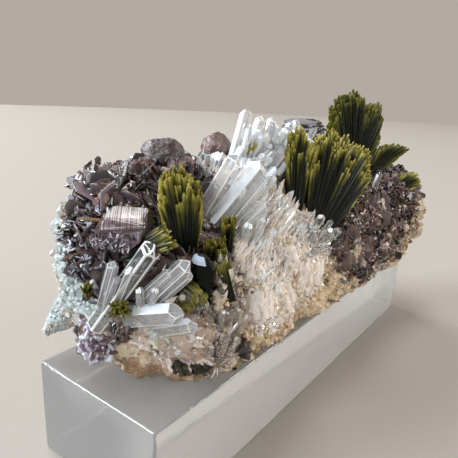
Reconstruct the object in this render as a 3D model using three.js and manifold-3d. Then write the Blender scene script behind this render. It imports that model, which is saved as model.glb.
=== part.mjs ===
// Epidote crystals with quartz and axinite on their rock, resting on a clear acrylic block.
// Millimetres, +Z up. The origin is the middle of the block's underside. +X runs along the
// block to the far end of the specimen, +Y to the back, away from the side it is shown from.
import * as THREE from 'three';
import { mergeVertices } from 'three/addons/utils/BufferGeometryUtils.js';
import Module from 'manifold-3d';

const wasm = await Module();
wasm.setup();

// The acrylic block, sawn from bar and polished.
const BLOCK_LENGTH = 120;
const BLOCK_DEPTH = 32;
const BLOCK_HEIGHT = 20;
const BLOCK_BEVEL = 0.4;

// What touches keeps this gap, so that each piece stays a solid of its own.
const GAP = 0.3;

// The rock, by stations along X: place, front, back, underside and top. The underside lies
// under the block's top wherever the rock stands on it.
const ROCK = [
  [-60, -8, 15, 28, 53],
  [-57, -11, 17, 25, 56],
  [-52, -13, 17, 21, 57],
  [-47, -14, 17, 14, 58],
  [-40, -15, 18, 6, 58],
  [-30, -16, 18, 6, 58],
  [-13, -14, 18, 6, 58],
  [5, -15, 18, 6, 58],
  [15, -16, 17, 6, 58],
  [38, -16, 15, 6, 54],
  [48, -18, 13, 10, 52],
  [56, -20, 12, 21, 51],
  [62, -21, 10, 29, 50],
  [67, -22, 6, 33, 47],
];
const ROCK_RINGS = 22;
const ROCK_SIDES = 14;
// How square the rock's section is, and how suddenly its two ends close.
const ROCK_SQUARENESS = 0.6;
const ROCK_END = 20;
// Seen from above each end is round: its nose in Y, its curve, and how far in it fades.
const LEFT_NOSE = 6;
const LEFT_CURVE = 0.017;
const RIGHT_NOSE = -20;
const RIGHT_CURVE = 0.012;
const END_REACH = 30;
// Above this height the front face slopes back, by this much per millimetre.
const SHOULDER_HEIGHT = 38;
const SHOULDER_SLOPE = 0.62;

// Lumps and hollows of the rock: how high each is in millimetres, and the two waves that it is
// made of, as turns along X, Y and Z and a start.
const LUMPS = [
  { height: 1.2, first: [0.17, 0, 0.21, 0], second: [-0.12, 0.25, 0, 2] },
  { height: 0.8, first: [0.41, 0, -0.47, 1.1], second: [0, 0.45, 0.38, 0] },
  { height: 0.5, first: [2.9, 0, 1.7, 0], second: [0, 2.3, -3.1, 0] },
];

// Crystals start this deep under the rock's skin, where the rock cuts them off.
const ROOT_DEPTH = 3;

// Quartz is a little flat, and its point is this long for its width.
const QUARTZ_FLATNESS = 0.75;
const QUARTZ_TIP = 0.8;

// An epidote blade is this wide at the root for its width, and its end rises to one peak: how
// far across it stands, and how high the two corners beside it are for the blade's length.
const BLADE_ROOT = 0.4;
const BLADE_PEAK = 0.2;
const BLADE_CORNERS = [0.94, 0.9];

// A fan is this wide at the root for its width at the crest. Between two of its blades lies a
// groove, this thick and this high for a blade.
const FAN_ROOT = 0.22;
const GROOVE_THICKNESS = 0.55;
const GROOVE_HEIGHT = 0.9;

// This much of an axinite plate is sunk in the rock. Its free edge is this thick and this long
// for the plate, and stands this far to one side.
const PLATE_SUNK = 0.25;
const PLATE_EDGE_THICKNESS = 0.25;
const PLATE_EDGE_LENGTH = 0.75;
const PLATE_SLANT = 0.12;

// How much crystals of one crust differ in size, and how far they lean from the way out.
const PLATE_SIZES = [0.7, 1.3];
const PLATE_HEIGHTS = [0.7, 1];
const PLATE_THICKNESS = 0.3;
const PLATE_LEAN = 1.8;
const NEEDLE_SIZES = [0.7, 1.3];
const NEEDLE_LEAN = 0.5;

// Steps that spread the crystals of a crust evenly over it.
const EVEN_STEPS = [0.7549, 0.5698];

// How far the points of a crust's skin stray along the rock and round it, for their spacing.
const CRUST_DISORDER = 0.4;

// Further out than any of the crystals.
const FAR = 150;

// One random row of numbers for each piece, the same every time.
function dice(seed) {
  let state = seed;
  return () => {
    state = (state * 16807) % 2147483647;
    return state / 2147483647;
  };
}

function vector(place) {
  return new THREE.Vector3(...place);
}

function between([low, high], share) {
  return low + (high - low) * share;
}

// A direction by chance, up to half a unit long along each axis.
function anyWay(roll) {
  return new THREE.Vector3(roll() - 0.5, roll() - 0.5, roll() - 0.5);
}

// A closed geometry with one vertex at each of its points.
function merge(geometry) {
  geometry.deleteAttribute('normal');
  geometry.deleteAttribute('uv');
  return mergeVertices(geometry, 1e-4);
}

// The solid inside a closed geometry.
function solid(geometry) {
  const merged = merge(geometry);
  const corners = [];
  for (let i = 0; i < merged.index.count; i += 3) {
    const face = [0, 1, 2].map((k) => merged.index.getX(i + k));
    if (new Set(face).size === 3) {
      corners.push(...face);
    }
  }
  return new wasm.Manifold(new wasm.Mesh({
    numProp: 3,
    vertProperties: new Float32Array(merged.attributes.position.array),
    triVerts: new Uint32Array(corners),
  }));
}

// Moves a geometry built up +Z from the origin to its root, pointing at its tip, with its
// broad side along the direction given.
function stand(geometry, root, tip, side) {
  const up = tip.clone().sub(root).normalize();
  const thin = new THREE.Vector3().crossVectors(up, side).normalize();
  const broad = new THREE.Vector3().crossVectors(thin, up);
  geometry.applyMatrix4(new THREE.Matrix4().makeBasis(broad, thin, up).setPosition(root));
  return solid(geometry);
}

function box(low, high) {
  const size = high.map((value, k) => value - low[k]);
  const middle = high.map((value, k) => (value + low[k]) / 2);
  const geometry = new THREE.BoxGeometry(...size);
  geometry.translate(...middle);
  return solid(geometry);
}

// A rounded lump.
function lump(middle, radii, grow = 0, detail = 1) {
  const geometry = new THREE.IcosahedronGeometry(1, detail);
  geometry.scale(...radii.map((radius) => radius + grow));
  geometry.translate(...middle);
  return solid(geometry);
}

function join(shapes) {
  return shapes.reduce((whole, shape) => whole.add(shape));
}

function signedPower(value, power) {
  return Math.sign(value) * Math.abs(value) ** power;
}

// The rock's front, back, underside and top at a place along X.
function rockAt(x) {
  let i = 0;
  while (i < ROCK.length - 2 && ROCK[i + 1][0] < x) {
    i += 1;
  }
  const t = THREE.MathUtils.clamp((x - ROCK[i][0]) / (ROCK[i + 1][0] - ROCK[i][0]), 0, 1);
  return ROCK[i].map((value, k) => value + (ROCK[i + 1][k] - value) * t);
}

// How far the rock's skin stands out at a place.
function unevenness(x, y, z) {
  const wave = ([byX, byY, byZ, start]) => Math.sin(byX * x + byY * y + byZ * z + start);
  return LUMPS.reduce((sum, lump) => sum + lump.height * wave(lump.first) * wave(lump.second), 0);
}

// A point of the rock's skin: how far along it from 0 to 1, and the angle round it, where 0
// is the back, 90 degrees the top and 180 degrees the front.
function rockPoint(along, angle) {
  const start = ROCK[0][0];
  const end = ROCK[ROCK.length - 1][0];
  const x = start + (end - start) * along;
  const [, front, back, foot, top] = rockAt(x);
  const closing = Math.sqrt(Math.max(0, 1 - Math.abs(2 * along - 1) ** ROCK_END));
  const across = signedPower(Math.cos(angle), ROCK_SQUARENESS);
  const up = signedPower(Math.sin(angle), ROCK_SQUARENESS);
  const halfDepth = closing * (back - front) / 2;
  const halfHeight = closing * (top - foot) / 2;
  let y = (front + back) / 2 + halfDepth * across;
  let z = (foot + top) / 2 + halfHeight * up;
  const bulge = closing * unevenness(x, y, z);
  y += bulge * across;
  z += bulge * up;
  y += SHOULDER_SLOPE * Math.max(0, z - SHOULDER_HEIGHT) * (1 - across) / 2;
  const atLeft = Math.max(0, 1 - (x - start) / END_REACH);
  const atRight = Math.max(0, 1 - (end - x) / END_REACH);
  const drawnIn = atLeft * LEFT_CURVE * (y - LEFT_NOSE) ** 2
    - atRight * RIGHT_CURVE * (y - RIGHT_NOSE) ** 2;
  return new THREE.Vector3(x + drawnIn, y, z);
}

// The way out of the rock at a point of its skin.
function rockOutward(along, angle) {
  const step = 0.01;
  const byLength = rockPoint(along + step, angle).sub(rockPoint(along - step, angle));
  const byAngle = rockPoint(along, angle + step).sub(rockPoint(along, angle - step));
  return byAngle.cross(byLength).normalize();
}

// The pale foot that juts from the rock's left end, a cone with this many sides.
const FOOT = { root: [-50, 11, 34], tip: [-61, 13, 26.5], width: 11, sides: 7 };

// The rock's skin. With a crag, its points lie in disorder and each stands out by up to that
// much, by chance.
function rockSkin(grow, crag = 0, seed = 1) {
  const roll = dice(seed);
  const disorder = crag > 0 ? CRUST_DISORDER : 0;
  const sphere = new THREE.SphereGeometry(1, ROCK_SIDES, ROCK_RINGS);
  sphere.rotateZ(Math.PI / 2);
  const geometry = merge(sphere);
  const place = geometry.attributes.position;
  for (let i = 0; i < place.count; i += 1) {
    const along = 1 - Math.acos(THREE.MathUtils.clamp(place.getX(i), -1, 1)) / Math.PI;
    const angle = Math.atan2(place.getZ(i), place.getY(i));
    const astray = anyWay(roll).multiplyScalar(disorder);
    const share = THREE.MathUtils.clamp(along + astray.x / ROCK_RINGS, 0, 1);
    const turn = angle + astray.y * 2 * Math.PI / ROCK_SIDES;
    place.setXYZ(i, ...rockPoint(share, turn).toArray());
  }
  geometry.computeVertexNormals();
  const outward = geometry.attributes.normal;
  for (let i = 0; i < place.count; i += 1) {
    const out = new THREE.Vector3().fromBufferAttribute(outward, i);
    const point = new THREE.Vector3().fromBufferAttribute(place, i);
    point.addScaledVector(out, grow + crag * roll());
    place.setXYZ(i, ...point.toArray());
  }
  return solid(geometry);
}

// The rock as it was broken out, with its foot.
function rock(grow = 0) {
  const length = vector(FOOT.root).distanceTo(vector(FOOT.tip)) + 2 * grow;
  const cone = new THREE.ConeGeometry(FOOT.width / 2 + grow, length, FOOT.sides);
  cone.rotateX(Math.PI / 2);
  cone.translate(0, 0, length / 2);
  const foot = stand(cone, vector(FOOT.root), vector(FOOT.tip), new THREE.Vector3(0, 1, 0));
  return rockSkin(grow).add(foot);
}

// A crust that clothes the rock over a region, a craggy skin for crystals to stand on.
function crustBed(region, grow = 0) {
  const reach = region.radii.map((radius) => radius + grow);
  const skin = rockSkin(region.bed + grow, region.crag, region.seed);
  return skin.intersect(lump(region.middle, reach));
}

// Places on a region's crust, with the way out of the rock. None is right at the region's rim.
function scatter(count, roll, { middle, radii, along, angle, bed }) {
  const inner = vector(radii).multiplyScalar(0.95);
  const start = [roll(), roll()];
  const places = [];
  for (let i = 0; places.length < count; i += 1) {
    const u = between(along, (start[0] + i * EVEN_STEPS[0]) % 1);
    const v = THREE.MathUtils.degToRad(between(angle, (start[1] + i * EVEN_STEPS[1]) % 1));
    const place = rockPoint(u, v);
    const inside = place.clone().sub(vector(middle)).divide(inner).length() < 1;
    if (inside && place.z > BLOCK_HEIGHT + ROOT_DEPTH) {
      const out = rockOutward(u, v);
      places.push({ place: place.addScaledVector(out, bed), out });
    }
  }
  return places;
}

// A six-sided quartz crystal with a pointed end.
function quartz(root, tip, width, grow = 0, side = [1, 0, 0]) {
  const length = vector(root).distanceTo(vector(tip));
  const radius = width / 2 + grow;
  const shoulder = Math.max(length - QUARTZ_TIP * width, length / 3);
  const profile = [[0, -ROOT_DEPTH], [radius, -ROOT_DEPTH], [radius, shoulder],
    [0, length + 1.5 * grow]];
  const points = profile.map((point) => new THREE.Vector2(...point));
  const geometry = new THREE.LatheGeometry(points, 6);
  geometry.rotateX(Math.PI / 2);
  geometry.scale(1, QUARTZ_FLATNESS + grow / radius / 3, 1);
  return stand(geometry, vector(root), vector(tip), vector(side));
}

// An epidote blade: narrow at the root, with an uneven chisel end.
function blade(root, tip, side, width, thickness, grow = 0) {
  const length = root.distanceTo(tip) + grow;
  const half = width / 2 + grow;
  const outline = new THREE.Shape();
  outline.moveTo(-BLADE_ROOT * half, -ROOT_DEPTH);
  outline.lineTo(BLADE_ROOT * half, -ROOT_DEPTH);
  outline.lineTo(half, BLADE_CORNERS[1] * length);
  outline.lineTo(BLADE_PEAK * half, length);
  outline.lineTo(-half, BLADE_CORNERS[0] * length);
  const depth = thickness + 2 * grow;
  const geometry = new THREE.ExtrudeGeometry(outline, { depth, bevelEnabled: false });
  geometry.translate(0, 0, -depth / 2);
  geometry.rotateX(Math.PI / 2);
  return stand(geometry, root, tip, side);
}

// A cockscomb of epidote that spreads from its root to a ragged crest. Each ridge of it is a
// blade with an end of its own. The room it takes from its neighbours is a plain wedge.
function fan(shape, grow = 0) {
  const roll = dice(shape.seed);
  const height = vector(shape.crest).distanceTo(vector(shape.root));
  const ridges = grow > 0 ? 1 : shape.blades;
  const geometry = new THREE.BoxGeometry(2, 2, 1, 2 * ridges, 1, 2);
  const place = geometry.attributes.position;
  const ends = [];
  for (let column = 0; column <= 2 * shape.blades; column += 1) {
    ends.push((column % 2 === 1 ? 1 : GROOVE_HEIGHT) - shape.ragged * roll());
  }
  const shortest = grow > 0 ? GROOVE_HEIGHT - shape.ragged - shape.sag : 1;
  for (let i = 0; i < place.count; i += 1) {
    const u = place.getX(i);
    const w = place.getZ(i) + 0.5;
    const column = Math.round((u + 1) * ridges);
    const spread = between([FAN_ROOT, 1], Math.min(1, w / shortest));
    const ridge = grow > 0 || column % 2 === 1 ? 1 : GROOVE_THICKNESS;
    const end = grow > 0 ? 1 : ends[column] - shape.sag * u * u;
    place.setXYZ(
      i,
      u * (spread * shape.width / 2 + grow),
      place.getY(i) * (ridge * spread * shape.depth / 2 + grow),
      w * end * height + (w > 0 ? grow : -ROOT_DEPTH),
    );
  }
  return stand(geometry, vector(shape.root), vector(shape.crest), vector(shape.across));
}

// An axinite plate: a wedge that thins to a sharp edge away from the rock.
function plate(root, out, side, length, height, thickness, grow = 0) {
  const geometry = new THREE.BoxGeometry(length + 2 * grow, thickness + 2 * grow, height + grow);
  geometry.translate(0, 0, height / 2 - PLATE_SUNK * height);
  const place = geometry.attributes.position;
  for (let i = 0; i < place.count; i += 1) {
    if (place.getZ(i) > 0) {
      place.setY(i, place.getY(i) * PLATE_EDGE_THICKNESS + Math.sign(place.getY(i)) * grow);
      place.setX(i, place.getX(i) * PLATE_EDGE_LENGTH + PLATE_SLANT * length);
    }
  }
  return stand(geometry, root, root.clone().add(out), side);
}

// Axinite plates at all angles over a region, like stacked tiles.
function plates(count, seed, region, size, grow = 0) {
  const roll = dice(seed);
  return scatter(count, roll, region).map(({ place, out }) => {
    const way = out.clone().addScaledVector(anyWay(roll), PLATE_LEAN).normalize();
    const side = anyWay(roll).cross(out);
    const length = size * between(PLATE_SIZES, roll());
    const height = length * between(PLATE_HEIGHTS, roll());
    return plate(place, way, side, length, height, length * PLATE_THICKNESS, grow);
  });
}

// Quartz points over a region, leaning from the way out of the rock towards one way.
function needles(count, seed, region, lean, length, width, grow = 0) {
  const roll = dice(seed);
  return scatter(count, roll, region).map(({ place, out }) => {
    const way = out.clone().add(vector(lean)).normalize();
    way.addScaledVector(anyWay(roll), NEEDLE_LEAN).normalize();
    const tip = place.clone().addScaledVector(way, length * between(NEEDLE_SIZES, roll()));
    const thickness = width * between(NEEDLE_SIZES, roll());
    return quartz(place.toArray(), tip.toArray(), thickness, grow);
  });
}

// The pieces in the order in which one keeps its shape where another is cut to fit it. The
// small crystals fused on a crust fit round all the other pieces.
const pieces = [];

function piece(name, colour, roughness, make, makeSmall = () => []) {
  pieces.push({ name, colour, roughness, make, makeSmall });
}

const ACRYLIC = 0xdfe6ea;
const ROCK_COLOUR = 0xcfc4a8;
const EPIDOTE = 0x4c5212;
const DARK_EPIDOTE = 0x16190c;
const QUARTZ = 0xdfe6ea;
const DRUSE = 0xcdbcab;
const AXINITE = 0x5b4442;
const CHLORITE = 0x3c4029;
// Fans stand broad side on to the view from the front left.
const FAN_ACROSS = [0.75, -0.66, 0];

// Where the crusts lie: an ellipsoid's middle and radii, the stretch of rock inside it, how
// thick the bed is and how far its crags stand out of it.
const LEFT_CRUST = {
  middle: [-50, 0, 49], radii: [20, 15, 14], along: [0.002, 0.26], angle: [60, 185],
  bed: 1, crag: 1.8, seed: 90,
};
const RIGHT_CRUST = {
  middle: [37, -15, 38], radii: [34, 12, 19], along: [0.6, 0.998], angle: [95, 225],
  bed: 2, crag: 1.8, seed: 100,
};
const DRUSE_BED = {
  middle: [-22, -14, 40], radii: [20, 9, 14], along: [0.18, 0.48], angle: [110, 215],
  bed: 1.4, crag: 1.6, seed: 110,
};
const LOW_QUARTZ = {
  middle: [-50, -9, 30], radii: [9, 9, 9], along: [0.02, 0.2], angle: [170, 212],
  bed: 1, crag: 1.6, seed: 80,
};
const CROWN = {
  middle: [-8, 1, 58], radii: [15, 6, 6], along: [0.3, 0.56], angle: [70, 130],
  bed: 0.5, crag: 0, seed: 70,
};

piece('axinite_crust_left', AXINITE, 0.25, (grow) => crustBed(LEFT_CRUST, grow),
  () => plates(11, 97, LEFT_CRUST, 5.4));

piece('axinite_crust_right', AXINITE, 0.4, (grow) => crustBed(RIGHT_CRUST, grow),
  () => plates(11, 101, RIGHT_CRUST, 6));

piece('quartz_druse', DRUSE, 0.25, (grow) => crustBed(DRUSE_BED, grow),
  () => needles(12, 111, DRUSE_BED, [0.1, 0.1, 2], 8, 2.2));

piece('quartz_mass_left', DRUSE, 0.3, (grow) => crustBed(LOW_QUARTZ, grow),
  () => needles(4, 81, LOW_QUARTZ, [0.4, -0.5, 0.5], 5, 2.2));

piece('epidote_fan_front', EPIDOTE, 0.4, (grow) => join([
  fan({
    root: [0, -12, 38.5], crest: [4.5, -14, 66], across: FAN_ACROSS, width: 17, depth: 4.4,
    blades: 9, sag: 0.16, ragged: 0.1, seed: 11,
  }, grow),
  fan({
    root: [-0.5, -12.5, 38.5], crest: [2, -16.5, 60], across: FAN_ACROSS, width: 11, depth: 3.4,
    blades: 5, sag: 0.2, ragged: 0.16, seed: 12,
  }, grow),
  fan({
    root: [-3, -10.5, 43], crest: [-8, -8.5, 66], across: FAN_ACROSS, width: 7, depth: 4,
    blades: 4, sag: 0.08, ragged: 0.1, seed: 13,
  }, grow),
]));

piece('epidote_fan_back', EPIDOTE, 0.4, (grow) => join([
  fan({
    root: [39, -2, 51], crest: [38, -0.5, 75], across: FAN_ACROSS, width: 13, depth: 5,
    blades: 7, sag: 0.16, ragged: 0.1, seed: 21,
  }, grow),
  fan({
    root: [40, -3, 51], crest: [45.5, -5.5, 71], across: FAN_ACROSS, width: 7, depth: 4,
    blades: 4, sag: 0.1, ragged: 0.2, seed: 22,
  }, grow),
]));

piece('epidote_fan_left', EPIDOTE, 0.4, (grow) => join([
  fan({
    root: [-44.5, -9, 45], crest: [-49.5, -10, 61.5], across: [0.7, -0.7, 0.1], width: 8.5,
    depth: 3.6, blades: 7, sag: 0.2, ragged: 0.1, seed: 31,
  }, grow),
  fan({
    root: [-45, -9.5, 45], crest: [-50, -12, 57.5], across: [0.7, -0.7, 0.1], width: 6,
    depth: 3, blades: 4, sag: 0.2, ragged: 0.2, seed: 34,
  }, grow),
]));

piece('quartz_prisms_main', QUARTZ, 0.08, (grow) => join([
  quartz([-38, -6, 50], [-33, -10, 61], 4.6, grow),
  quartz([-37.5, -7, 48.5], [-28, -12, 60], 4.8, grow),
  quartz([-35, -8.5, 47], [-27, -12.5, 57], 3.6, grow),
]));

piece('quartz_long_left', QUARTZ, 0.08, (grow) => join([
  quartz([-58.5, -1, 34], [-55, -11, 49.5], 4.2, grow),
  quartz([-59, -2.5, 37.5], [-59, -6, 46.5], 2.6, grow),
  quartz([-58, -3.5, 35.5], [-57.5, -8.5, 45.5], 2.4, grow),
]));

piece('quartz_stubby_left', QUARTZ, 0.08, (grow) => quartz(
  [-54, -8.5, 39],
  [-51.5, -15, 46.5],
  3.8,
  grow,
));

piece('quartz_flat_left', QUARTZ, 0.1, (grow) => join([
  quartz([-56.5, -5.5, 35.5], [-52, -17, 38.5], 4.4, grow),
  quartz([-55, -8, 37], [-56.5, -9, 42], 1.8, grow),
  quartz([-54.5, -9.5, 37.5], [-55, -11, 42], 1.6, grow),
  quartz([-54, -8.5, 33], [-51, -16.5, 36], 3.2, grow),
]));

piece('quartz_prism_second', QUARTZ, 0.08, (grow) => join([
  quartz([-34, -9.5, 46], [-28, -14, 52.5], 3.2, grow),
  quartz([-30, -12, 42.5], [-29, -14, 49.5], 2, grow),
  quartz([-32.5, -11.5, 43], [-33, -13.5, 49], 2.2, grow),
]));

piece('epidote_prism_dark', DARK_EPIDOTE, 0.15, (grow) => blade(
  vector([-46, -13.5, 37]),
  vector([-47.5, -14, 46.5]),
  vector(FAN_ACROSS),
  3.6,
  2.6,
  grow,
));

piece('epidote_blades_middle', EPIDOTE, 0.4, (grow) => join([
  blade(vector([-37, -11, 41]), vector([-38, -12.5, 51]), vector(FAN_ACROSS), 3.2, 2, grow),
  blade(vector([-38, -11, 41]), vector([-40, -12, 48]), vector(FAN_ACROSS), 2.4, 1.6, grow),
  blade(vector([-41, -11, 41]), vector([-43, -12, 48]), vector(FAN_ACROSS), 2.6, 1.8, grow),
  blade(vector([-39.5, -11, 40]), vector([-41, -12.5, 46]), vector(FAN_ACROSS), 4, 1.8, grow),
]));

piece('epidote_blade_lower', EPIDOTE, 0.4, (grow) => join([
  blade(vector([-38, -14, 35]), vector([-41, -13.5, 43.5]), vector(FAN_ACROSS), 3, 2, grow),
  blade(vector([-38.5, -14, 34]), vector([-40, -15, 40]), vector(FAN_ACROSS), 2, 1.6, grow),
]));

piece('epidote_blade_forked', EPIDOTE, 0.4, (grow) => join([
  blade(vector([-56, -5.5, 46]), vector([-53.5, -14, 50.5]), vector([0, 0, 1]), 3, 1.8, grow),
  blade(vector([-56, -5.5, 46.5]), vector([-53, -12, 52]), vector([0, 0, 1]), 2, 1.6, grow),
]));

piece('epidote_blades_low', EPIDOTE, 0.4, (grow) => join([
  blade(vector([-50.5, -9, 43]), vector([-49, -15.5, 39.5]), vector([0, 0, 1]), 3.4, 2, grow),
  blade(vector([-49, -10, 42]), vector([-47.5, -15.5, 38]), vector([0, 0, 1]), 3, 2, grow),
  blade(vector([-50, -10, 40]), vector([-50, -14.5, 37]), vector([1, 0, 1]), 3, 2, grow),
]));

piece('epidote_tuft_right', DARK_EPIDOTE, 0.4, (grow) => fan({
  root: [41, -8, 49], crest: [53, -15.5, 57.5], across: [0.1, -0.4, -1], width: 8, depth: 4,
  blades: 5, sag: 0.2, ragged: 0.2, seed: 41,
}, grow));

piece('epidote_spray_right', EPIDOTE, 0.4, (grow) => fan({
  root: [50, -14, 43], crest: [58.5, -20, 48.5], across: [0.3, -0.4, -1], width: 7, depth: 3,
  blades: 4, sag: 0.2, ragged: 0.2, seed: 51,
}, grow));

piece('epidote_tuft_low', EPIDOTE, 0.4, (grow) => fan({
  root: [-58, -6, 36.5], crest: [-60.5, -8, 40.5], across: FAN_ACROSS, width: 4, depth: 2.6,
  blades: 3, sag: 0.2, ragged: 0.15, seed: 61,
}, grow));

piece('epidote_pair_top', EPIDOTE, 0.4, (grow) => join([
  blade(vector([-17, 1, 57.5]), vector([-15, -0.5, 62.5]), vector([1, 0, 0]), 1.8, 1.2, grow),
  blade(vector([-18, 1, 57.5]), vector([-17, -0.5, 61.5]), vector([1, 0, 0]), 1.6, 1.2, grow),
]));

piece('axinite_wedge', AXINITE, 0.15, (grow) => plate(
  vector([-56, -4, 49]),
  vector([-0.45, -0.5, 0.75]).normalize(),
  vector([0.5, -0.85, 0.1]),
  11,
  8,
  5,
  grow,
));

piece('axinite_dome_left', AXINITE, 0.3, (grow) => lump([-40, 2, 60.5], [4.4, 4.2, 3.8], grow));
piece('axinite_dome_right', AXINITE, 0.3, (grow) => lump([-20.5, 5, 60], [3.6, 3.4, 3.8], grow));

piece('axinite_plate_back', AXINITE, 0.3, (grow) => join([
  plate(vector([21, 7, 59]), vector([-0.1, 0, 1]), vector([1, -0.3, 0]), 15, 10, 7, grow),
  plate(vector([29, 6, 58]), vector([0.2, 0.1, 1]), vector([1, -0.4, 0]), 12, 9, 6, grow),
]));

piece('axinite_cluster_low', AXINITE, 0.2, (grow) => join([
  lump([-57, 4, 28], [3, 4.5, 5.5], grow),
  plate(vector([-58, 3, 30]), vector([-1, -0.3, 0.4]), vector([0, 0.5, 1]), 6, 5, 2, grow),
  plate(vector([-57.5, 5, 26]), vector([-1, 0, -0.2]), vector([0, 1, 0.3]), 5, 5, 2, grow),
  plate(vector([-57, 1, 27]), vector([-1, -0.6, 0]), vector([0, 0.3, 1]), 5, 5, 2, grow),
]));

piece('quartz_crown', QUARTZ, 0.08, (grow) => join([
  quartz([-20, 0, 58], [-19.5, -0.5, 69.5], 3.2, grow),
  quartz([-14.5, 0, 57.5], [-13.5, -0.5, 67.5], 3.4, grow),
  quartz([-10, 0, 57], [-9, -0.5, 67.5], 2.8, grow),
  quartz([0, -1, 57], [2, -2, 65], 2.8, grow),
  lump([-10, 0, 57.5], [13, 3, 3], grow, 0),
  ...needles(4, CROWN.seed, CROWN, [0.2, -0.2, 1.2], 6, 2.4, grow),
]));

piece('quartz_points_crest', QUARTZ, 0.1, (grow) => join([
  quartz([-33, -2, 54], [-34, -2.5, 61.5], 3, grow),
  quartz([-31, -2, 54], [-30, -3, 61], 3.4, grow),
  quartz([-28.5, -1, 55], [-27, -2, 60.5], 2.6, grow),
]));

piece('quartz_points_front', QUARTZ, 0.1, (grow) => join([
  quartz([-6, -12.5, 40], [-5.5, -15.5, 46], 2.4, grow),
  quartz([-1, -14, 37], [0, -18, 42], 2.4, grow),
  quartz([-4, -14, 37], [-3.5, -17.5, 42.5], 2.2, grow),
  quartz([-7.5, -14, 36.5], [-6.5, -18, 39.5], 2.4, grow),
  lump([-4, -14, 37], [6, 3.4, 3.4], grow, 0),
]));

piece('quartz_point_right', QUARTZ, 0.1, (grow) => quartz(
  [34, -12.5, 44],
  [34.5, -14, 51.5],
  2.4,
  grow,
));

piece('quartz_points_low', QUARTZ, 0.1, (grow) => join([
  quartz([-43, -14, 26], [-47.5, -16, 36], 2.4, grow),
  quartz([-42.5, -14.5, 26], [-45, -17, 36.5], 2.2, grow),
  quartz([-42, -14.5, 26], [-42.5, -17.5, 36], 2.4, grow),
  quartz([-41, -15, 26], [-40, -17.5, 35], 2.2, grow),
  quartz([-40, -15, 25], [-37.5, -17.5, 33], 2.2, grow),
  quartz([-43.5, -13.5, 25], [-47.5, -16.5, 30], 2.4, grow),
  lump([-42, -14, 26], [5, 3.5, 5], grow, 0),
]));

piece('axinite_grain_low', AXINITE, 0.15, (grow) => plate(
  vector([-37, -15, 25]),
  vector([-0.3, -0.9, 0.3]),
  vector([0.3, 0, 1]),
  5,
  4,
  2.4,
  grow,
));

piece('chlorite_patch', CHLORITE, 0.95, (grow) => join([
  lump([-49, -12, 25.4], [2.4, 2.2, 1.7], grow),
  lump([-46.5, -13.5, 25], [2.2, 2.2, 1.6], grow, 0),
]));

// Whether the boxes round two shapes meet, so that the shapes may.
function boxesMeet(one, other) {
  const a = one.boundingBox();
  const b = other.boundingBox();
  return [0, 1, 2].every((k) => a.min[k] < b.max[k] && b.min[k] < a.max[k]);
}

// All the room over the block's top, from this far above it.
function aboveBlock(gap) {
  return box([-FAR, -FAR, BLOCK_HEIGHT + gap], [FAR, FAR, FAR]);
}

// Cuts a shape where it stands on the block and where it meets its neighbours.
function fit(shape, neighbours) {
  let rest = shape.intersect(aboveBlock(GAP));
  for (const neighbour of neighbours) {
    if (!rest.isEmpty() && boxesMeet(rest, neighbour)) {
      rest = rest.subtract(neighbour);
    }
  }
  return rest;
}

// A scrap that a neighbour cuts off is left out.
function largest(shape) {
  return shape.decompose().sort((a, b) => b.volume() - a.volume())[0];
}

const parts = new THREE.Group();

function addPart(name, shape, colour, roughness) {
  const mesh = shape.getMesh();
  const geometry = new THREE.BufferGeometry();
  geometry.setAttribute('position', new THREE.BufferAttribute(mesh.vertProperties, 3));
  geometry.setIndex(new THREE.BufferAttribute(mesh.triVerts, 1));
  geometry.computeVertexNormals();
  const material = new THREE.MeshStandardMaterial({ color: colour, roughness, metalness: 0 });
  const part = new THREE.Mesh(geometry, material);
  part.name = name;
  parts.add(part);
}

function acrylicBlock() {
  const x = BLOCK_LENGTH / 2 - BLOCK_BEVEL;
  const y = BLOCK_DEPTH / 2 - BLOCK_BEVEL;
  const corners = [[-x, -y], [x, -y], [x, y], [-x, y]];
  const outline = new THREE.Shape(corners.map((corner) => new THREE.Vector2(...corner)));
  const geometry = new THREE.ExtrudeGeometry(outline, {
    depth: BLOCK_HEIGHT - 2 * BLOCK_BEVEL,
    bevelThickness: BLOCK_BEVEL,
    bevelSize: BLOCK_BEVEL,
    bevelSegments: 1,
  });
  geometry.translate(0, 0, BLOCK_BEVEL);
  return solid(geometry);
}

addPart('acrylic_block', acrylicBlock(), ACRYLIC, 0.05);
addPart('matrix_rock', rock().intersect(aboveBlock(0)), ROCK_COLOUR, 0.9);

// Each piece is cut to fit the rock and the pieces before it.
const rockRoom = rock(GAP);
const rooms = pieces.map((each) => each.make(GAP));
pieces.forEach(({ name, colour, roughness, make, makeSmall }, k) => {
  let shape = fit(make(0), [rockRoom, ...rooms.slice(0, k)]);
  const others = [rockRoom, ...rooms.filter((room, j) => j !== k)];
  for (const small of makeSmall()) {
    shape = shape.add(fit(small, others));
  }
  addPart(name, largest(shape), colour, roughness);
});

export default parts;
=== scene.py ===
import math, random
import bmesh, bpy, numpy
from mathutils import Matrix, Vector, noise


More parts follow.
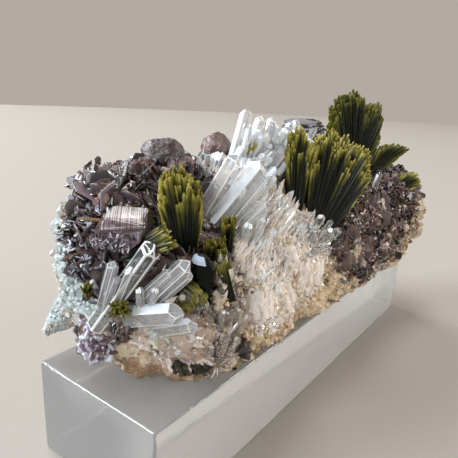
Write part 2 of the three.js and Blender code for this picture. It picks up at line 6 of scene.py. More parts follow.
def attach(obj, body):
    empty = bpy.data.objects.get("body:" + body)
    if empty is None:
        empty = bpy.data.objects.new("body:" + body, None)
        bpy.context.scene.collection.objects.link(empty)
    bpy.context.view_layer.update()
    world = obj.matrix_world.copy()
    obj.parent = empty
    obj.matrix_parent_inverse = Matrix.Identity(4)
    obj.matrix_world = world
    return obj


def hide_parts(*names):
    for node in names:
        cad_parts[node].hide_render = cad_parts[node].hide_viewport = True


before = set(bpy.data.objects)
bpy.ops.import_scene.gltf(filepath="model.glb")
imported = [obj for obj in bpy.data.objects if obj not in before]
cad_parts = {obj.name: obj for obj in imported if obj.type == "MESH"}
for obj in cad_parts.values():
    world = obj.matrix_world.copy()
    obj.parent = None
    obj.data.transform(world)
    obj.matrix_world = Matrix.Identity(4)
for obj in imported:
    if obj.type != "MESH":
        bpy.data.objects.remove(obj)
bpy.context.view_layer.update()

# The view: a camera close to the near left end of the specimen, on a plain pale floor. A wide, soft
# window at the left gives cool light, and a weaker warm one at the right fills the shadows.
MILLIMETRE = 0.001
LENS = 37.03
CAMERA_PLACE = Vector((-104.0, -61.1, 72.6))
CAMERA_RIGHT = Vector((0.60293789, -0.79660242, 0.04347974))
CAMERA_DOWN = Vector((-0.19902361, -0.20296812, -0.95874582))
CAMERA_AHEAD = Vector((0.77256424, 0.56941068, -0.28091985))
SPECIMEN_MIDDLE = Vector((0, 0, 38))
FLOOR_COLOUR = (0.34, 0.31, 0.278)
FLOOR_BELOW = 0.05
FLOOR_REACH = 1600
ROOM_COLOUR = (0.5, 0.45, 0.405)

camera = bpy.data.objects.new("camera", bpy.data.cameras.new("camera"))
camera.data.lens = LENS
camera.data.clip_start = 0.005
turned = Matrix((CAMERA_RIGHT, -CAMERA_DOWN, -CAMERA_AHEAD)).transposed().to_4x4()
camera.matrix_world = Matrix.Translation(CAMERA_PLACE * MILLIMETRE) @ turned
bpy.context.scene.collection.objects.link(camera)
bpy.context.scene.camera = camera
bpy.context.scene.view_settings.view_transform = "Standard"


def window(name, place, width, height, strength, colour, seen_through_block=True):
    light = bpy.data.lights.new(name, "AREA")
    light.shape = "RECTANGLE"
    light.size, light.size_y = width * MILLIMETRE, height * MILLIMETRE
    light.energy = strength
    light.color = colour
    lamp = bpy.data.objects.new(name, light)
    lamp.location = Vector(place) * MILLIMETRE
    lamp.rotation_euler = (SPECIMEN_MIDDLE - Vector(place)).to_track_quat("-Z", "Y").to_euler()
    lamp.visible_camera = False
    lamp.visible_transmission = seen_through_block
    bpy.context.scene.collection.objects.link(lamp)


window("window_left", (-1900, 1600, 1500), 1300, 1000, 92, (0.84, 0.92, 1), False)
window("window_near", (-2400, -700, 1000), 500, 1000, 22, (0.86, 0.93, 1))
window("window_behind", (400, 2700, 1900), 1500, 800, 60, (0.92, 0.96, 1), False)
window("window_high", (-250, 400, 2600), 1000, 800, 34, (0.95, 0.97, 1))
window("warm_fill", (2000, -2300, 1000), 1500, 1300, 50, (1, 0.93, 0.85), False)

room = bpy.data.worlds.new("room")
bpy.context.scene.world = room
room.use_nodes = True
room.node_tree.nodes["Background"].inputs["Color"].default_value = (*ROOM_COLOUR, 1)
room.node_tree.nodes["Background"].inputs["Strength"].default_value = 0.9


def join(tree, kind, sockets=None, **settings):
    """Adds one node. A socket is given its value, or the output that feeds it."""
    made = tree.nodes.new("ShaderNode" + kind)
    for setting, value in settings.items():
        setattr(made, setting, value)
    for socket, value in (sockets or {}).items():
        if isinstance(value, bpy.types.NodeSocket):
            tree.links.new(value, made.inputs[socket])
        else:
            made.inputs[socket].default_value = value
    return made


def new_material(name):
    material = bpy.data.materials.new(name)
    material.use_nodes = True
    return material, material.node_tree, material.node_tree.nodes["Principled BSDF"]


floor_mesh = bpy.data.meshes.new("floor")
floor_corners = [(FLOOR_REACH * math.cos(math.tau * i / 96) * MILLIMETRE,
                  FLOOR_REACH * math.sin(math.tau * i / 96) * MILLIMETRE, -FLOOR_BELOW * MILLIMETRE)
                 for i in range(96)]
floor_mesh.from_pydata(floor_corners, [], [tuple(range(96))])
floor = bpy.data.objects.new("floor", floor_mesh)
bpy.context.scene.collection.objects.link(floor)
floor_paint, tree, shader = new_material("floor_paint")
shader.inputs["Base Color"].default_value = (*FLOOR_COLOUR, 1)
shader.inputs["Roughness"].default_value = 0.8
floor_mesh.materials.append(floor_paint)

# The block that the specimen rests on: one bar of clear cast acrylic, sawn to length, with flame
# polished faces and narrow rounded edges that catch the light. The specimen only stands on it.
BLOCK_LENGTH, BLOCK_DEPTH, BLOCK_HEIGHT = 120, 32, 20
BLOCK_EDGE = 0.4
BLOCK_EDGE_STEPS = 3
ACRYLIC_COLOUR = (0.98, 0.97, 0.965)
ACRYLIC_INDEX = 1.49
ACRYLIC_TINT, ACRYLIC_DEPTH = (0.6, 0.92, 1), 2.5


def place_piece(name, mesh, slot, materials, *nodes):
    """Puts a mesh in the scene as a piece of the specimen that stands for the named solids."""
    piece = bpy.data.objects.new(name, mesh)
    bpy.context.scene.collection.objects.link(piece)
    for material in materials:
        mesh.materials.append(material)
    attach(piece, "root")
    if nodes:
        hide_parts(*nodes)
    return piece


acrylic, tree, shader = new_material("clear_acrylic")
smudge = join(tree, "TexNoise", {"Scale": 90, "Detail": 4})
polish = join(tree, "MapRange", {"Value": smudge.outputs["Fac"], "From Min": 0.45, "From Max": 0.8,
                                 "To Min": 0.0, "To Max": 0.05})
wave = join(tree, "TexNoise", {"Scale": 60, "Detail": 1})
ripple = join(tree, "Bump", {"Height": wave.outputs["Fac"], "Strength": 0.04, "Distance": 0.001})
shader.inputs["Base Color"].default_value = (*ACRYLIC_COLOUR, 1)
shader.inputs["Transmission Weight"].default_value = 0.86
shader.inputs["IOR"].default_value = ACRYLIC_INDEX
tint = join(tree, "VolumeAbsorption", {"Color": (*ACRYLIC_TINT, 1), "Density": ACRYLIC_DEPTH})
tree.links.new(tint.outputs["Volume"], tree.nodes["Material Output"].inputs["Volume"])
tree.links.new(polish.outputs["Result"], shader.inputs["Roughness"])
tree.links.new(ripple.outputs["Normal"], shader.inputs["Normal"])

shape = bmesh.new()
bmesh.ops.create_cube(shape, size=1)
bmesh.ops.scale(shape, vec=(BLOCK_LENGTH, BLOCK_DEPTH, BLOCK_HEIGHT), verts=shape.verts)
bmesh.ops.translate(shape, vec=(0, 0, BLOCK_HEIGHT / 2), verts=shape.verts)
bmesh.ops.bevel(shape, geom=shape.edges[:], offset=BLOCK_EDGE, segments=BLOCK_EDGE_STEPS,
                profile=0.5, affect="EDGES")
bmesh.ops.scale(shape, vec=[MILLIMETRE] * 3, verts=shape.verts)
shape.normal_update()
block_mesh = bpy.data.meshes.new("acrylic_bar")
shape.to_mesh(block_mesh)
shape.free()
place_piece("acrylic_bar", block_mesh, "acrylic", [acrylic], "acrylic_block")

# The matrix: one lump of broken, altered rock, pale green and cream at its left end, ochre and
# grainy low at the front, grey-cream at the back. All the crystals grew on it.
ROCK = numpy.array([
    [-60, -8, 15, 28, 53], [-57, -11, 17, 25, 56], [-52, -13, 17, 21, 57], [-47, -14, 17, 14, 58],
    [-40, -15, 18, 6, 58], [-30, -16, 18, 6, 58], [-13, -14, 18, 6, 58], [5, -15, 18, 6, 58],
    [15, -16, 17, 6, 58], [38, -16, 15, 6, 54], [48, -18, 13, 10, 52], [56, -20, 12, 21, 51],
    [62, -21, 10, 29, 50], [67, -22, 6, 33, 47],
])  # each row: place along x, front, back, underside, top
ROCK_SQUARENESS = 0.6
ROCK_END = 20
LEFT_NOSE, LEFT_CURVE = 6, 0.017
RIGHT_NOSE, RIGHT_CURVE = -20, 0.012
END_REACH = 30
SHOULDER_HEIGHT, SHOULDER_SLOPE = 38, 0.62
LUMPS = [
    (1.2, (0.17, 0, 0.21, 0), (-0.12, 0.25, 0, 2)),
    (0.8, (0.41, 0, -0.47, 1.1), (0, 0.45, 0.38, 0)),
    (0.5, (2.9, 0, 1.7, 0), (0, 2.3, -3.1, 0)),
]
ROCK_ROWS = 204
ROCK_END_COLUMNS, ROCK_MIDDLE_COLUMNS = 44, 236
ROCK_BACK, BACK_SQUEEZE = 15.4, 0.5
BREAKS_SEED = 3


def rock_point(along, angle):
    """A place on the rock's skin. Along runs from the left end to the right end, 0 to 1. The angle
    is 0 at the back, a quarter turn at the top and half a turn at the front."""
    start, end = ROCK[0, 0], ROCK[-1, 0]
    x = start + (end - start) * along
    front, back, foot, top = (numpy.interp(x, ROCK[:, 0], ROCK[:, i]) for i in range(1, 5))
    closing = numpy.sqrt(numpy.maximum(0, 1 - numpy.abs(2 * along - 1) ** ROCK_END))
    across = numpy.sign(numpy.cos(angle)) * numpy.abs(numpy.cos(angle)) ** ROCK_SQUARENESS
    up = numpy.sign(numpy.sin(angle)) * numpy.abs(numpy.sin(angle)) ** ROCK_SQUARENESS
    y = (front + back) / 2 + closing * (back - front) / 2 * across
    z = (foot + top) / 2 + closing * (top - foot) / 2 * up
    uneven = sum(
        height * numpy.sin(a[0] * x + a[1] * y + a[2] * z + a[3])
        * numpy.sin(b[0] * x + b[1] * y + b[2] * z + b[3])
        for height, a, b in LUMPS
    )
    y, z = y + closing * uneven * across, z + closing * uneven * up
    y = y + SHOULDER_SLOPE * numpy.maximum(0, z - SHOULDER_HEIGHT) * (1 - across) / 2
    at_left = numpy.maximum(0, 1 - (x - start) / END_REACH)
    at_right = numpy.maximum(0, 1 - (end - x) / END_REACH)
    x = x + at_left * LEFT_CURVE * (y - LEFT_NOSE) ** 2 - at_right * RIGHT_CURVE * (y - RIGHT_NOSE) ** 2
    return numpy.stack((x, y, z), -1)


def rock_outward(along, angle):
    step = 0.005
    by_angle = rock_point(along, angle + step) - rock_point(along, angle - step)
    ahead, behind = numpy.minimum(along + step, 1), numpy.maximum(along - step, 0)
    by_length = rock_point(ahead, angle) - rock_point(behind, angle)
    outward = numpy.cross(by_angle, by_length)
    return outward / numpy.maximum(1e-9, numpy.linalg.norm(outward, axis=-1, keepdims=True))


def crags(places, size, octaves, seed):
    """Uneven height, about -1 to 1, at each of the places."""
    shift = Vector((seed, 2 * seed, -seed))
    return numpy.array([
        noise.fractal(Vector(place) / size + shift, 0.9, 2.1, octaves) for place in places
    ])


def grains(places, size, seed):
    """Rounded grains about as wide as the size: 1 in their middles and 0 between them."""
    shift = Vector((seed, -seed, 3 * seed))
    heights = []
    for place in places:
        near = noise.voronoi(Vector(place) / size + shift)[0]
        heights.append(min(1, 1.6 * (near[1] - near[0])))
    return numpy.array(heights)


def facets(places, size, slope, seed):
    """Heights of flat, tilted breaks about as wide as the size."""
    shift = Vector((3 * seed, seed, -seed))
    heights = []
    for place in places:
        spot = Vector(place) / size + shift
        middle = noise.voronoi(spot)[1][0]
        tilt = noise.noise_vector(middle * 3.7 + shift)
        heights.append((spot - middle).dot(tilt) * slope * size)
    return numpy.array(heights)


def grid_faces(columns, rows, closed=False):
    last = rows if closed else rows - 1
    return [
        (c * rows + r, c * rows + (r + 1) % rows, (c + 1) * rows + (r + 1) % rows, (c + 1) * rows + r)
        for c in range(columns - 1) for r in range(last)
    ]


def new_mesh(name, points, faces, smooth=False, **marks):
    """A mesh from places in mm. Each mark is a number kept for every place, for the materials."""
    mesh = bpy.data.meshes.new(name)
    mesh.from_pydata((numpy.asarray(points, float) * MILLIMETRE).tolist(), [], faces)
    for mark, numbers in marks.items():
        layer = mesh.attributes.new(mark, "FLOAT", "POINT")
        layer.data.foreach_set("value", numpy.asarray(numbers, numpy.float32).ravel())
    if smooth:
        mesh.shade_smooth()
    mesh.update()
    return mesh


def closed_grid(columns, rows):
    """Faces of a skin that is closed round and has one middle point at each end."""
    faces = grid_faces(columns, rows, closed=True)
    left, right = columns * rows, columns * rows + 1
    faces += [(left, (r + 1) % rows, r) for r in range(rows)]
    last = (columns - 1) * rows
    faces += [(right, last + r, last + (r + 1) % rows) for r in range(rows)]
    return faces


def ramp(tree, number, *stops):
    """Colours that follow a number. Each stop is a place from 0 to 1 and a colour."""
    made = join(tree, "ValToRGB", {"Fac": number})
    bar = made.color_ramp.elements
    while len(bar) < len(stops):
        bar.new(0.5)
    for element, (place, colour) in zip(bar, stops):
        element.position = place
        element.color = (*colour, 1)
    return made.outputs["Color"]


def blend(tree, share, first, second, how="MIX"):
    made = join(tree, "Mix", {"Factor": share}, data_type="RGBA", blend_type=how)
    for socket, value in ((made.inputs[6], first), (made.inputs[7], second)):
        if isinstance(value, bpy.types.NodeSocket):
            tree.links.new(value, socket)
        else:
            socket.default_value = (*value, 1)
    return made.outputs[2]


def sums(tree, how, first, second=0.0, clamp=False):
    return join(tree, "Math", {0: first, 1: second}, operation=how, use_clamp=clamp).outputs[0]


def spread(tree, number, low, high):
    """Stretches low to high over 0 to 1."""
    made = join(tree, "MapRange", {"Value": number, "From Min": low, "From Max": high})
    return made.outputs["Result"]


CREAM, MINT, OCHRE = (0.6, 0.53, 0.42), (0.4, 0.48, 0.48), (0.66, 0.49, 0.29)
TAN, PALE_GREY, RUST = (0.77, 0.63, 0.45), (0.55, 0.53, 0.49), (0.26, 0.14, 0.075)

matrix_stone, tree, shader = new_material("matrix_stone")
position = join(tree, "TexCoord").outputs["Object"]
apart = join(tree, "SeparateXYZ", {0: position})
cloud = join(tree, "TexNoise", {"Vector": position, "Scale": 130, "Detail": 6, "Roughness": 0.65})
fine = join(tree, "TexNoise", {"Vector": position, "Scale": 900, "Detail": 5, "Roughness": 0.7})
specks = join(tree, "TexVoronoi", {"Vector": position, "Scale": 700})
strewn = sums(tree, "MULTIPLY", sums(tree, "SUBTRACT", cloud.outputs["Fac"], 0.5), 0.05)
along_x = sums(tree, "ADD", apart.outputs["X"], strewn)
along_z = sums(tree, "ADD", apart.outputs["Z"], strewn)
plain = ramp(tree, cloud.outputs["Fac"], (0.28, (0.3, 0.27, 0.24)), (0.4, PALE_GREY), (0.52, CREAM), (0.66, OCHRE))
left = spread(tree, along_x, -0.052, -0.06)
stone = blend(tree, left, plain, ramp(tree, fine.outputs["Fac"], (0.35, MINT), (0.62, (0.64, 0.7, 0.71))))
low_down = sums(tree, "MULTIPLY", spread(tree, along_z, 0.042, 0.024), spread(tree, along_x, -0.058, -0.046))
grainy = ramp(tree, fine.outputs["Fac"], (0.24, RUST), (0.38, OCHRE), (0.52, TAN), (0.68, (0.86, 0.77, 0.62)))
stone = blend(tree, low_down, stone, grainy)
crested = sums(tree, "MULTIPLY", spread(tree, along_z, 0.053, 0.057), spread(tree, along_x, -0.026, -0.034))
stone = blend(tree, crested, stone, (0.11, 0.08, 0.07))
arched = sums(tree, "MULTIPLY", spread(tree, along_z, 0.026, 0.0235), spread(tree, along_x, -0.04, -0.046))
stone = blend(tree, arched, stone, ramp(tree, fine.outputs["Fac"], (0.35, RUST), (0.65, (0.5, 0.35, 0.22))))
stone = blend(tree, spread(tree, specks.outputs["Distance"], 0.16, 0.06), stone, (0.85, 0.83, 0.76))
shader.inputs["Roughness"].default_value = 0.75
crumb = sums(tree, "ADD", fine.outputs["Fac"], specks.outputs["Distance"])
bump = join(tree, "Bump", {"Height": crumb, "Strength": 0.7, "Distance": 0.0006})
tree.links.new(stone, shader.inputs["Base Color"])
tree.links.new(bump.outputs["Normal"], shader.inputs["Normal"])

width_at_end = numpy.linspace(0.02, 0.93, ROCK_END_COLUMNS)
end_along = (1 - (1 - width_at_end ** 2) ** (1 / ROCK_END)) / 2
along = numpy.concatenate((end_along, numpy.linspace(end_along[-1], 1 - end_along[-1], ROCK_MIDDLE_COLUMNS)[1:-1],
                           1 - end_along[::-1]))
ROCK_COLUMNS = len(along)
angle = numpy.linspace(0, math.tau, 6001)
ring = rock_point(numpy.full(angle.shape, 0.5), angle)
walked = numpy.linalg.norm(numpy.diff(ring, axis=0), axis=1) * numpy.where(numpy.abs(angle[1:] - 1.5 * math.pi) < 0.9, 0.4, 1)
walked = numpy.concatenate(([0], numpy.cumsum(walked)))
turn = numpy.interp(numpy.linspace(0, walked[-1], ROCK_ROWS, endpoint=False), walked, angle)
grid_along, grid_turn = numpy.meshgrid(along, turn, indexing="ij")
skin = rock_point(grid_along, grid_turn).reshape(-1, 3)
skin_out = rock_outward(grid_along, grid_turn).reshape(-1, 3)
skin_ends = rock_point(numpy.array([0.0, 1.0]), numpy.array([0.0, 0.0]))
broken = 0.6 * crags(skin, 6, 6, 3) + 0.5 * grains(skin, 2.1, 5) + 0.4 * grains(skin, 1.1, 6) - 0.7
noise.seed_set(BREAKS_SEED)
calmer = numpy.interp(skin[:, 0], (-60, -48), (0.3, 1))
broken = broken + calmer * (facets(skin, 7, 0.8, 4) + facets(skin, 3, 0.6, 9)) - 0.4 * (1 - calmer)
skin = skin + skin_out * broken[:, None]
past = numpy.maximum(0, skin[:, 1] - ROCK_BACK)
skin[:, 1] = numpy.minimum(skin[:, 1] - past * BACK_SQUEEZE, 18.9)
lifted = BLOCK_HEIGHT + 0.02 + 0.9 * numpy.maximum(0, crags(skin, 5, 3, 8))
skin[:, 2] = numpy.maximum(skin[:, 2], lifted)
rock_mesh = new_mesh("matrix_lump", numpy.vstack((skin, skin_ends)), closed_grid(ROCK_COLUMNS, ROCK_ROWS),
                     smooth=True)
place_piece("matrix_lump", rock_mesh, "matrix", [matrix_stone], "matrix_rock")

FOOT_ROOT, FOOT_TIP = Vector((-49, 10.6, 35)), Vector((-60.3, 12.8, 27.6))
FOOT_WIDTH = 12.5
FOOT_TAPER = 0.85
FOOT_RINGS, FOOT_SIDES = 60, 56


def limb(root, tip, width, rings, sides, taper, end=0.04):
    """A round body from root to tip that narrows towards its tip."""
    root, tip = Vector(root), Vector(tip)
    ahead = (tip - root).normalized()
    side = ahead.orthogonal().normalized()
    other = ahead.cross(side)
    points = []
    for ring in range(rings):
        share = ring / (rings - 1)
        radius = width / 2 * max(end, (1 - share) ** taper)
        for i in range(sides):
            angle = 2 * math.pi * i / sides
            points.append(root.lerp(tip, share) + radius * (math.cos(angle) * side + math.sin(angle) * other))
    return points + [root.copy(), tip.copy()]


foot = limb(FOOT_ROOT, FOOT_TIP, FOOT_WIDTH, FOOT_RINGS, FOOT_SIDES, FOOT_TAPER)
middle = Vector((-52, 11.5, 33))
ragged = crags(foot, 4, 6, 12) * 1.2 + grains(foot, 1.7, 6) * 0.8 + grains(foot, 0.8, 7) * 0.5 - 0.4
foot = [p + (p - middle).normalized() * float(r) * 0.6 for p, r in zip(foot, ragged)]
foot_mesh = new_mesh("matrix_foot", foot, closed_grid(FOOT_RINGS, FOOT_SIDES), smooth=True)
place_piece("matrix_foot", foot_mesh, "matrix", [matrix_stone])


# The axinite crusts: at each end the rock is hidden by a mass of thin, sharp-edged axinite crystals
# that grew through each other at all angles, glossy and violet-brown, on a bed of smaller grains.
# Where x runs: along the rock. Each crust says where its bed's middle and reach are, in mm, how much
# of the rock's length and turn it covers, how thick its bed is and how many crystals stand on it.
LEFT_CRUST = {"middle": (-48.5, -3, 49), "reach": (20, 12, 13.5), "along": (0.002, 0.26), "turn": (50, 190)}
RIGHT_CRUST = {"middle": (34, -13, 39), "reach": (35, 15, 18.5), "along": (0.5, 0.97), "turn": (80, 205)}
EVEN_STEPS = (0.7549, 0.5698)
STRAY = 0.06
DRIFT_SEED = 2
VIOLET_BLACK, UMBER, WARM_BROWN = (0.012, 0.009, 0.013), (0.035, 0.019, 0.017), (0.085, 0.042, 0.033)
LILAC, ROSE_BROWN, HONEY = (0.15, 0.12, 0.155), (0.19, 0.105, 0.085), (0.16, 0.09, 0.035)


def new_heap():
    return {"points": [], "faces": [], "growth": [], "tone": [], "ridge": [], "kinds": []}


def pile(heap, points, faces, growth, tone, ridge=None, kinds=None):
    """Adds one crystal. Growth is how far each place is from the crystal's root, in mm, ridge is 1
    on its ridges and 0 in its grooves, and kinds says which material each face takes."""
    first = len(heap["points"])
    heap["points"].extend(points)
    heap["faces"].extend(tuple(first + i for i in face) for face in faces)
    heap["growth"].extend(growth)
    heap["tone"].extend([tone] * len(points))
    heap["ridge"].extend(ridge or [0.5] * len(points))
    heap["kinds"].extend(kinds or [0] * len(faces))


def place_heap(name, heap, slot, materials, *nodes):
    mesh = new_mesh(name, [tuple(p) for p in heap["points"]], heap["faces"],
                    growth=heap["growth"], tone=heap["tone"], ridge=heap["ridge"])
    mesh.polygons.foreach_set("material_index", heap["kinds"])
    return place_piece(name, mesh, slot, materials, *nodes)


def ring_faces(rings, sides):
    """Faces of a body made of rings of corners, closed with a flat face at each end."""
    faces = grid_faces(rings, sides, closed=True)
    return [tuple(range(sides))[::-1]] + [f[::-1] for f in faces] + [
        tuple(range((rings - 1) * sides, rings * sides))
    ]


def frame_of(ahead, roll):
    """Two directions square to the way ahead, turned about it by the roll."""
    side = ahead.orthogonal().normalized()
    other = ahead.cross(side)
    return (math.cos(roll) * side + math.sin(roll) * other,
            math.cos(roll) * other - math.sin(roll) * side)


def plate(heap, root, out, side, length, width, thickness, tone, dice):
    """A wedge-shaped axinite crystal: a skewed plate with cut corners, thin at its edges."""
    out = Vector(out).normalized()
    side = (Vector(side) - Vector(side).dot(out) * out).normalized()
    across = out.cross(side)
    skew = dice.uniform(-0.25, 0.25)
    outline = [(-0.42, -0.1), (-0.5, 0.5), (-0.2, 0.96), (0.25, 1.0), (0.5, 0.62), (0.4, -0.1)]
    outline = [(a * dice.uniform(0.85, 1.1) + skew * b, b * dice.uniform(0.9, 1.05)) for a, b in outline]
    centre = (0, 0.45)
    levels = [(-0.5, 0.8), (-0.2, 0.98), (0.1, 1.0), (0.5, 0.84)]
    points, growth = [], []
    for height, grown in levels:
        for a, b in outline:
            a = centre[0] + (a - centre[0]) * grown
            b = centre[1] + (b - centre[1]) * grown
            points.append(root + side * (a * width) + out * (b * length) + across * (height * thickness))
            growth.append(a * width * 1.7 + b * length * 0.4)
    pile(heap, points, ring_faces(len(levels), len(outline)), growth, tone)


def in_region(region, place, share=1.0):
    return sum(((place[i] - region["middle"][i]) / region["reach"][i]) ** 2 for i in range(3)) < share


def surface_spots(region, count, dice, bed, share=0.95, lowest=BLOCK_HEIGHT + 1):
    """Evenly strewn places on the rock inside the region, each with its outward direction."""
    start = dice.random(), dice.random()
    steps = numpy.arange(count)
    stray = numpy.array([[dice.uniform(-STRAY, STRAY) for _ in range(2)] for _ in steps])
    low, high = region["along"]
    u = low + (high - low) * ((start[0] + steps * EVEN_STEPS[0] + stray[:, 0]) % 1)
    low, high = (math.radians(t) for t in region["turn"])
    v = low + (high - low) * ((start[1] + steps * EVEN_STEPS[1] + stray[:, 1]) % 1)
    places, outward = rock_point(u, v), rock_outward(u, v)
    spots = []
    for place, out in zip(places, outward):
        if in_region(region, place, share) and place[2] > lowest:
            spots.append((Vector(place + out * bed), Vector(out)))
    return spots


def bed_mesh(name, region, thickness, relief, columns, rows):
    """A skin over the rock that thins out and sinks into it at the region's edge, and closes inside."""
    u = numpy.linspace(*region["along"], columns)
    v = numpy.radians(numpy.linspace(*region["turn"], rows))
    grid_u, grid_v = numpy.meshgrid(u, v, indexing="ij")
    base = rock_point(grid_u, grid_v).reshape(-1, 3)
    out = rock_outward(grid_u, grid_v).reshape(-1, 3)
    away = sum(((base[:, i] - region["middle"][i]) / region["reach"][i]) ** 2 for i in range(3))
    cover = numpy.clip((1.05 - away) / 0.25, 0, 1)
    rim_u = numpy.minimum(grid_u - u[0], u[-1] - grid_u).ravel() / (u[-1] - u[0])
    rim_v = numpy.minimum(grid_v - v[0], v[-1] - grid_v).ravel() / (v[-1] - v[0])
    cover = cover * numpy.clip(numpy.minimum(rim_u if u[0] > 0.03 else 1, rim_v) / 0.05, 0, 1)
    height = (thickness + relief(base)) * cover - 1.6 * (1 - cover)
    outer = base + out * height[:, None]
    outer[:, 2] = numpy.maximum(outer[:, 2], BLOCK_HEIGHT + 0.1)
    middle = rock_point(numpy.full(40, (u[0] + u[-1]) / 2), numpy.linspace(0, math.tau, 40)).mean(0)
    faces = grid_faces(columns, rows)
    total = columns * rows
    border = ([r for r in range(rows)] + [c * rows + rows - 1 for c in range(1, columns)]
              + [(columns - 1) * rows + r for r in range(rows - 2, -1, -1)]
              + [c * rows for c in range(columns - 2, 0, -1)])
    for a, b in zip(border, border[1:] + border[:1]):
        faces.append((b, a, total))
    flat = numpy.append(height, 0)
    return new_mesh(name, numpy.vstack((outer, middle)), faces, smooth=True, growth=flat, tone=flat * 0 + 0.5)


def axinite_material(name, stops, glint, patch=260, mottled=0.55, coat=0.7, streaked=0.35):
    """Glossy axinite. Every crystal has a tone of its own, and its faces are finely lined."""
    material, tree, shader = new_material(name)
    position = join(tree, "TexCoord").outputs["Object"]
    tone = join(tree, "Attribute", attribute_name="tone").outputs["Fac"]
    growth = join(tree, "Attribute", attribute_name="growth").outputs["Fac"]
    cloud = join(tree, "TexNoise", {"Vector": position, "Scale": patch, "Detail": 4}).outputs["Fac"]
    uneven = sums(tree, "MULTIPLY", sums(tree, "SUBTRACT", cloud, 0.5), mottled)
    streaks = join(tree, "TexNoise", {"W": growth, "Scale": 2.6, "Detail": 3}, noise_dimensions="1D").outputs["Fac"]
    uneven = sums(tree, "ADD", uneven, sums(tree, "MULTIPLY", sums(tree, "SUBTRACT", streaks, 0.5), streaked))
    colour = ramp(tree, sums(tree, "ADD", tone, uneven), *stops)
    fine = join(tree, "TexNoise", {"Vector": position, "Scale": 2200, "Detail": 3}).outputs["Fac"]
    lines = sums(tree, "SINE", sums(tree, "MULTIPLY", growth, 26))
    relief = sums(tree, "ADD", sums(tree, "MULTIPLY", lines, 0.3), fine)
    bump = join(tree, "Bump", {"Height": relief, "Strength": 0.35, "Distance": 0.0002})
    rough = join(tree, "MapRange", {"Value": cloud, "From Min": 0.35, "From Max": 0.7,
                                    "To Min": glint, "To Max": glint + 0.22})
    tree.links.new(colour, shader.inputs["Base Color"])
    tree.links.new(rough.outputs["Result"], shader.inputs["Roughness"])
    tree.links.new(bump.outputs["Normal"], shader.inputs["Normal"])
    shader.inputs["IOR"].default_value = 1.68
    shader.inputs["Coat Weight"].default_value = coat
    shader.inputs["Coat Roughness"].default_value = 0.06
    return material


dark_axinite = axinite_material(
    "dark_axinite", [(0.08, VIOLET_BLACK), (0.42, UMBER), (0.66, WARM_BROWN), (0.82, LILAC), (0.97, HONEY)], 0.08)
brown_axinite = axinite_material(
    "brown_axinite", [(0.05, VIOLET_BLACK), (0.3, UMBER), (0.5, (0.1, 0.052, 0.04)), (0.7, (0.2, 0.115, 0.09)),
                      (0.84, (0.2, 0.165, 0.2)), (0.93, (0.42, 0.3, 0.17)), (1.0, (0.66, 0.56, 0.42))], 0.1)


noise.seed_set(DRIFT_SEED)


def drift(place, seed):
    """A direction that changes slowly from place to place, so that neighbours grow alike."""
    return noise.noise_vector(place / 5.5 + Vector((seed, 0, -seed))).normalized()


def crust(name, node, region, bed, counts, sizes, material, seed, lean, pale=None):
    """Plates of several sizes at all angles on a bed of grains. Small plates are many, big ones few."""
    dice = random.Random(seed)

    def relief(places):
        return 0.9 * grains(places, 1.6, seed) + 0.5 * grains(places, 0.8, seed + 1) - 0.6

    bed_piece = bed_mesh(name + "_bed", region, bed, relief, 190, 150)
    place_piece(name + "_bed", bed_piece, "axinite", [material])
    heap = new_heap()
    for count, (least, most), sunk in zip(counts, sizes, (0.35, 0.3, 0.25)):
        for place, out in surface_spots(region, count, dice, bed):
            stray = Vector([dice.uniform(-0.3, 0.3) for _ in range(3)])
            size = least + (most - least) * dice.random() ** 1.6
            ahead = (out * 0.55 + drift(place, seed) * lean + stray).normalized()
            side = (drift(place, seed + 9) + stray).cross(ahead).normalized()
            root = place - ahead * (size * sunk)
            if root.z < BLOCK_HEIGHT + 0.4 * size:
                continue
            tone = dice.random()
            if pale:
                tone = 0.95 + 0.1 * tone if in_region(pale, place, dice.uniform(0.6, 1.2)) else 0.8 * tone
            thick = size * dice.uniform(0.12, 0.26) * (0.6 if size > 2.6 else 1)
            plate(heap, root, ahead, side, size, size * dice.uniform(0.8, 1.4), thick, tone, dice)
    place_heap(name, heap, "axinite", [material], node)


crust("axinite_plates_left", "axinite_crust_left", LEFT_CRUST, 0.9, (110, 700, 1500),
      ((3.4, 5.6), (1.8, 3.4), (0.7, 1.7)), dark_axinite, 301, 0.9)
TOP_GLINTS = {"middle": (-54, -3, 55), "reach": (9, 10, 6), "along": (0.01, 0.16), "turn": (70, 170)}
# Small plates on the crust's top; the pale tones of this axinite are painted whitish sparkle.
painted_sparkle_axinite = axinite_material(
    "painted_sparkle_axinite", [(0.1, UMBER), (0.45, (0.09, 0.075, 0.08)), (0.7, (0.26, 0.24, 0.25)), (1.0, (0.66, 0.64, 0.62))], 0.05)
dice, heap = random.Random(303), new_heap()
for place, out in surface_spots(TOP_GLINTS, 260, dice, 1.3, 0.95):
    stray = Vector([dice.uniform(-0.9, 0.9) for _ in range(3)])
    ahead = (out * 0.5 + stray).normalized()
    size = dice.uniform(0.6, 1.7)
    plate(heap, place - ahead * (0.3 * size), ahead, frame_of(ahead, dice.uniform(0, math.tau))[0], size, size,
          size * 0.2, dice.random(), dice)
for place, size in (((-56.3, -0.1, 55.3), 1.1), ((-56.9, 0.5, 54.6), 0.9)):
    for _ in range(4):
        ahead = Vector((-0.5, -0.5, 0.7)) + Vector([dice.uniform(-0.7, 0.7) for _ in range(3)])
        plate(heap, Vector(place) - ahead.normalized() * size, ahead, frame_of(ahead.normalized(), dice.uniform(0, 6))[0],
              1.6 * size, 1.3 * size, 0.8 * size, 0.5, dice)
        heap["kinds"][-20:] = [1] * 20
CORNER = {"middle": (-53.5, 7.5, 57), "reach": (7, 5.5, 3.2), "along": (0.002, 0.12), "turn": (50, 115)}
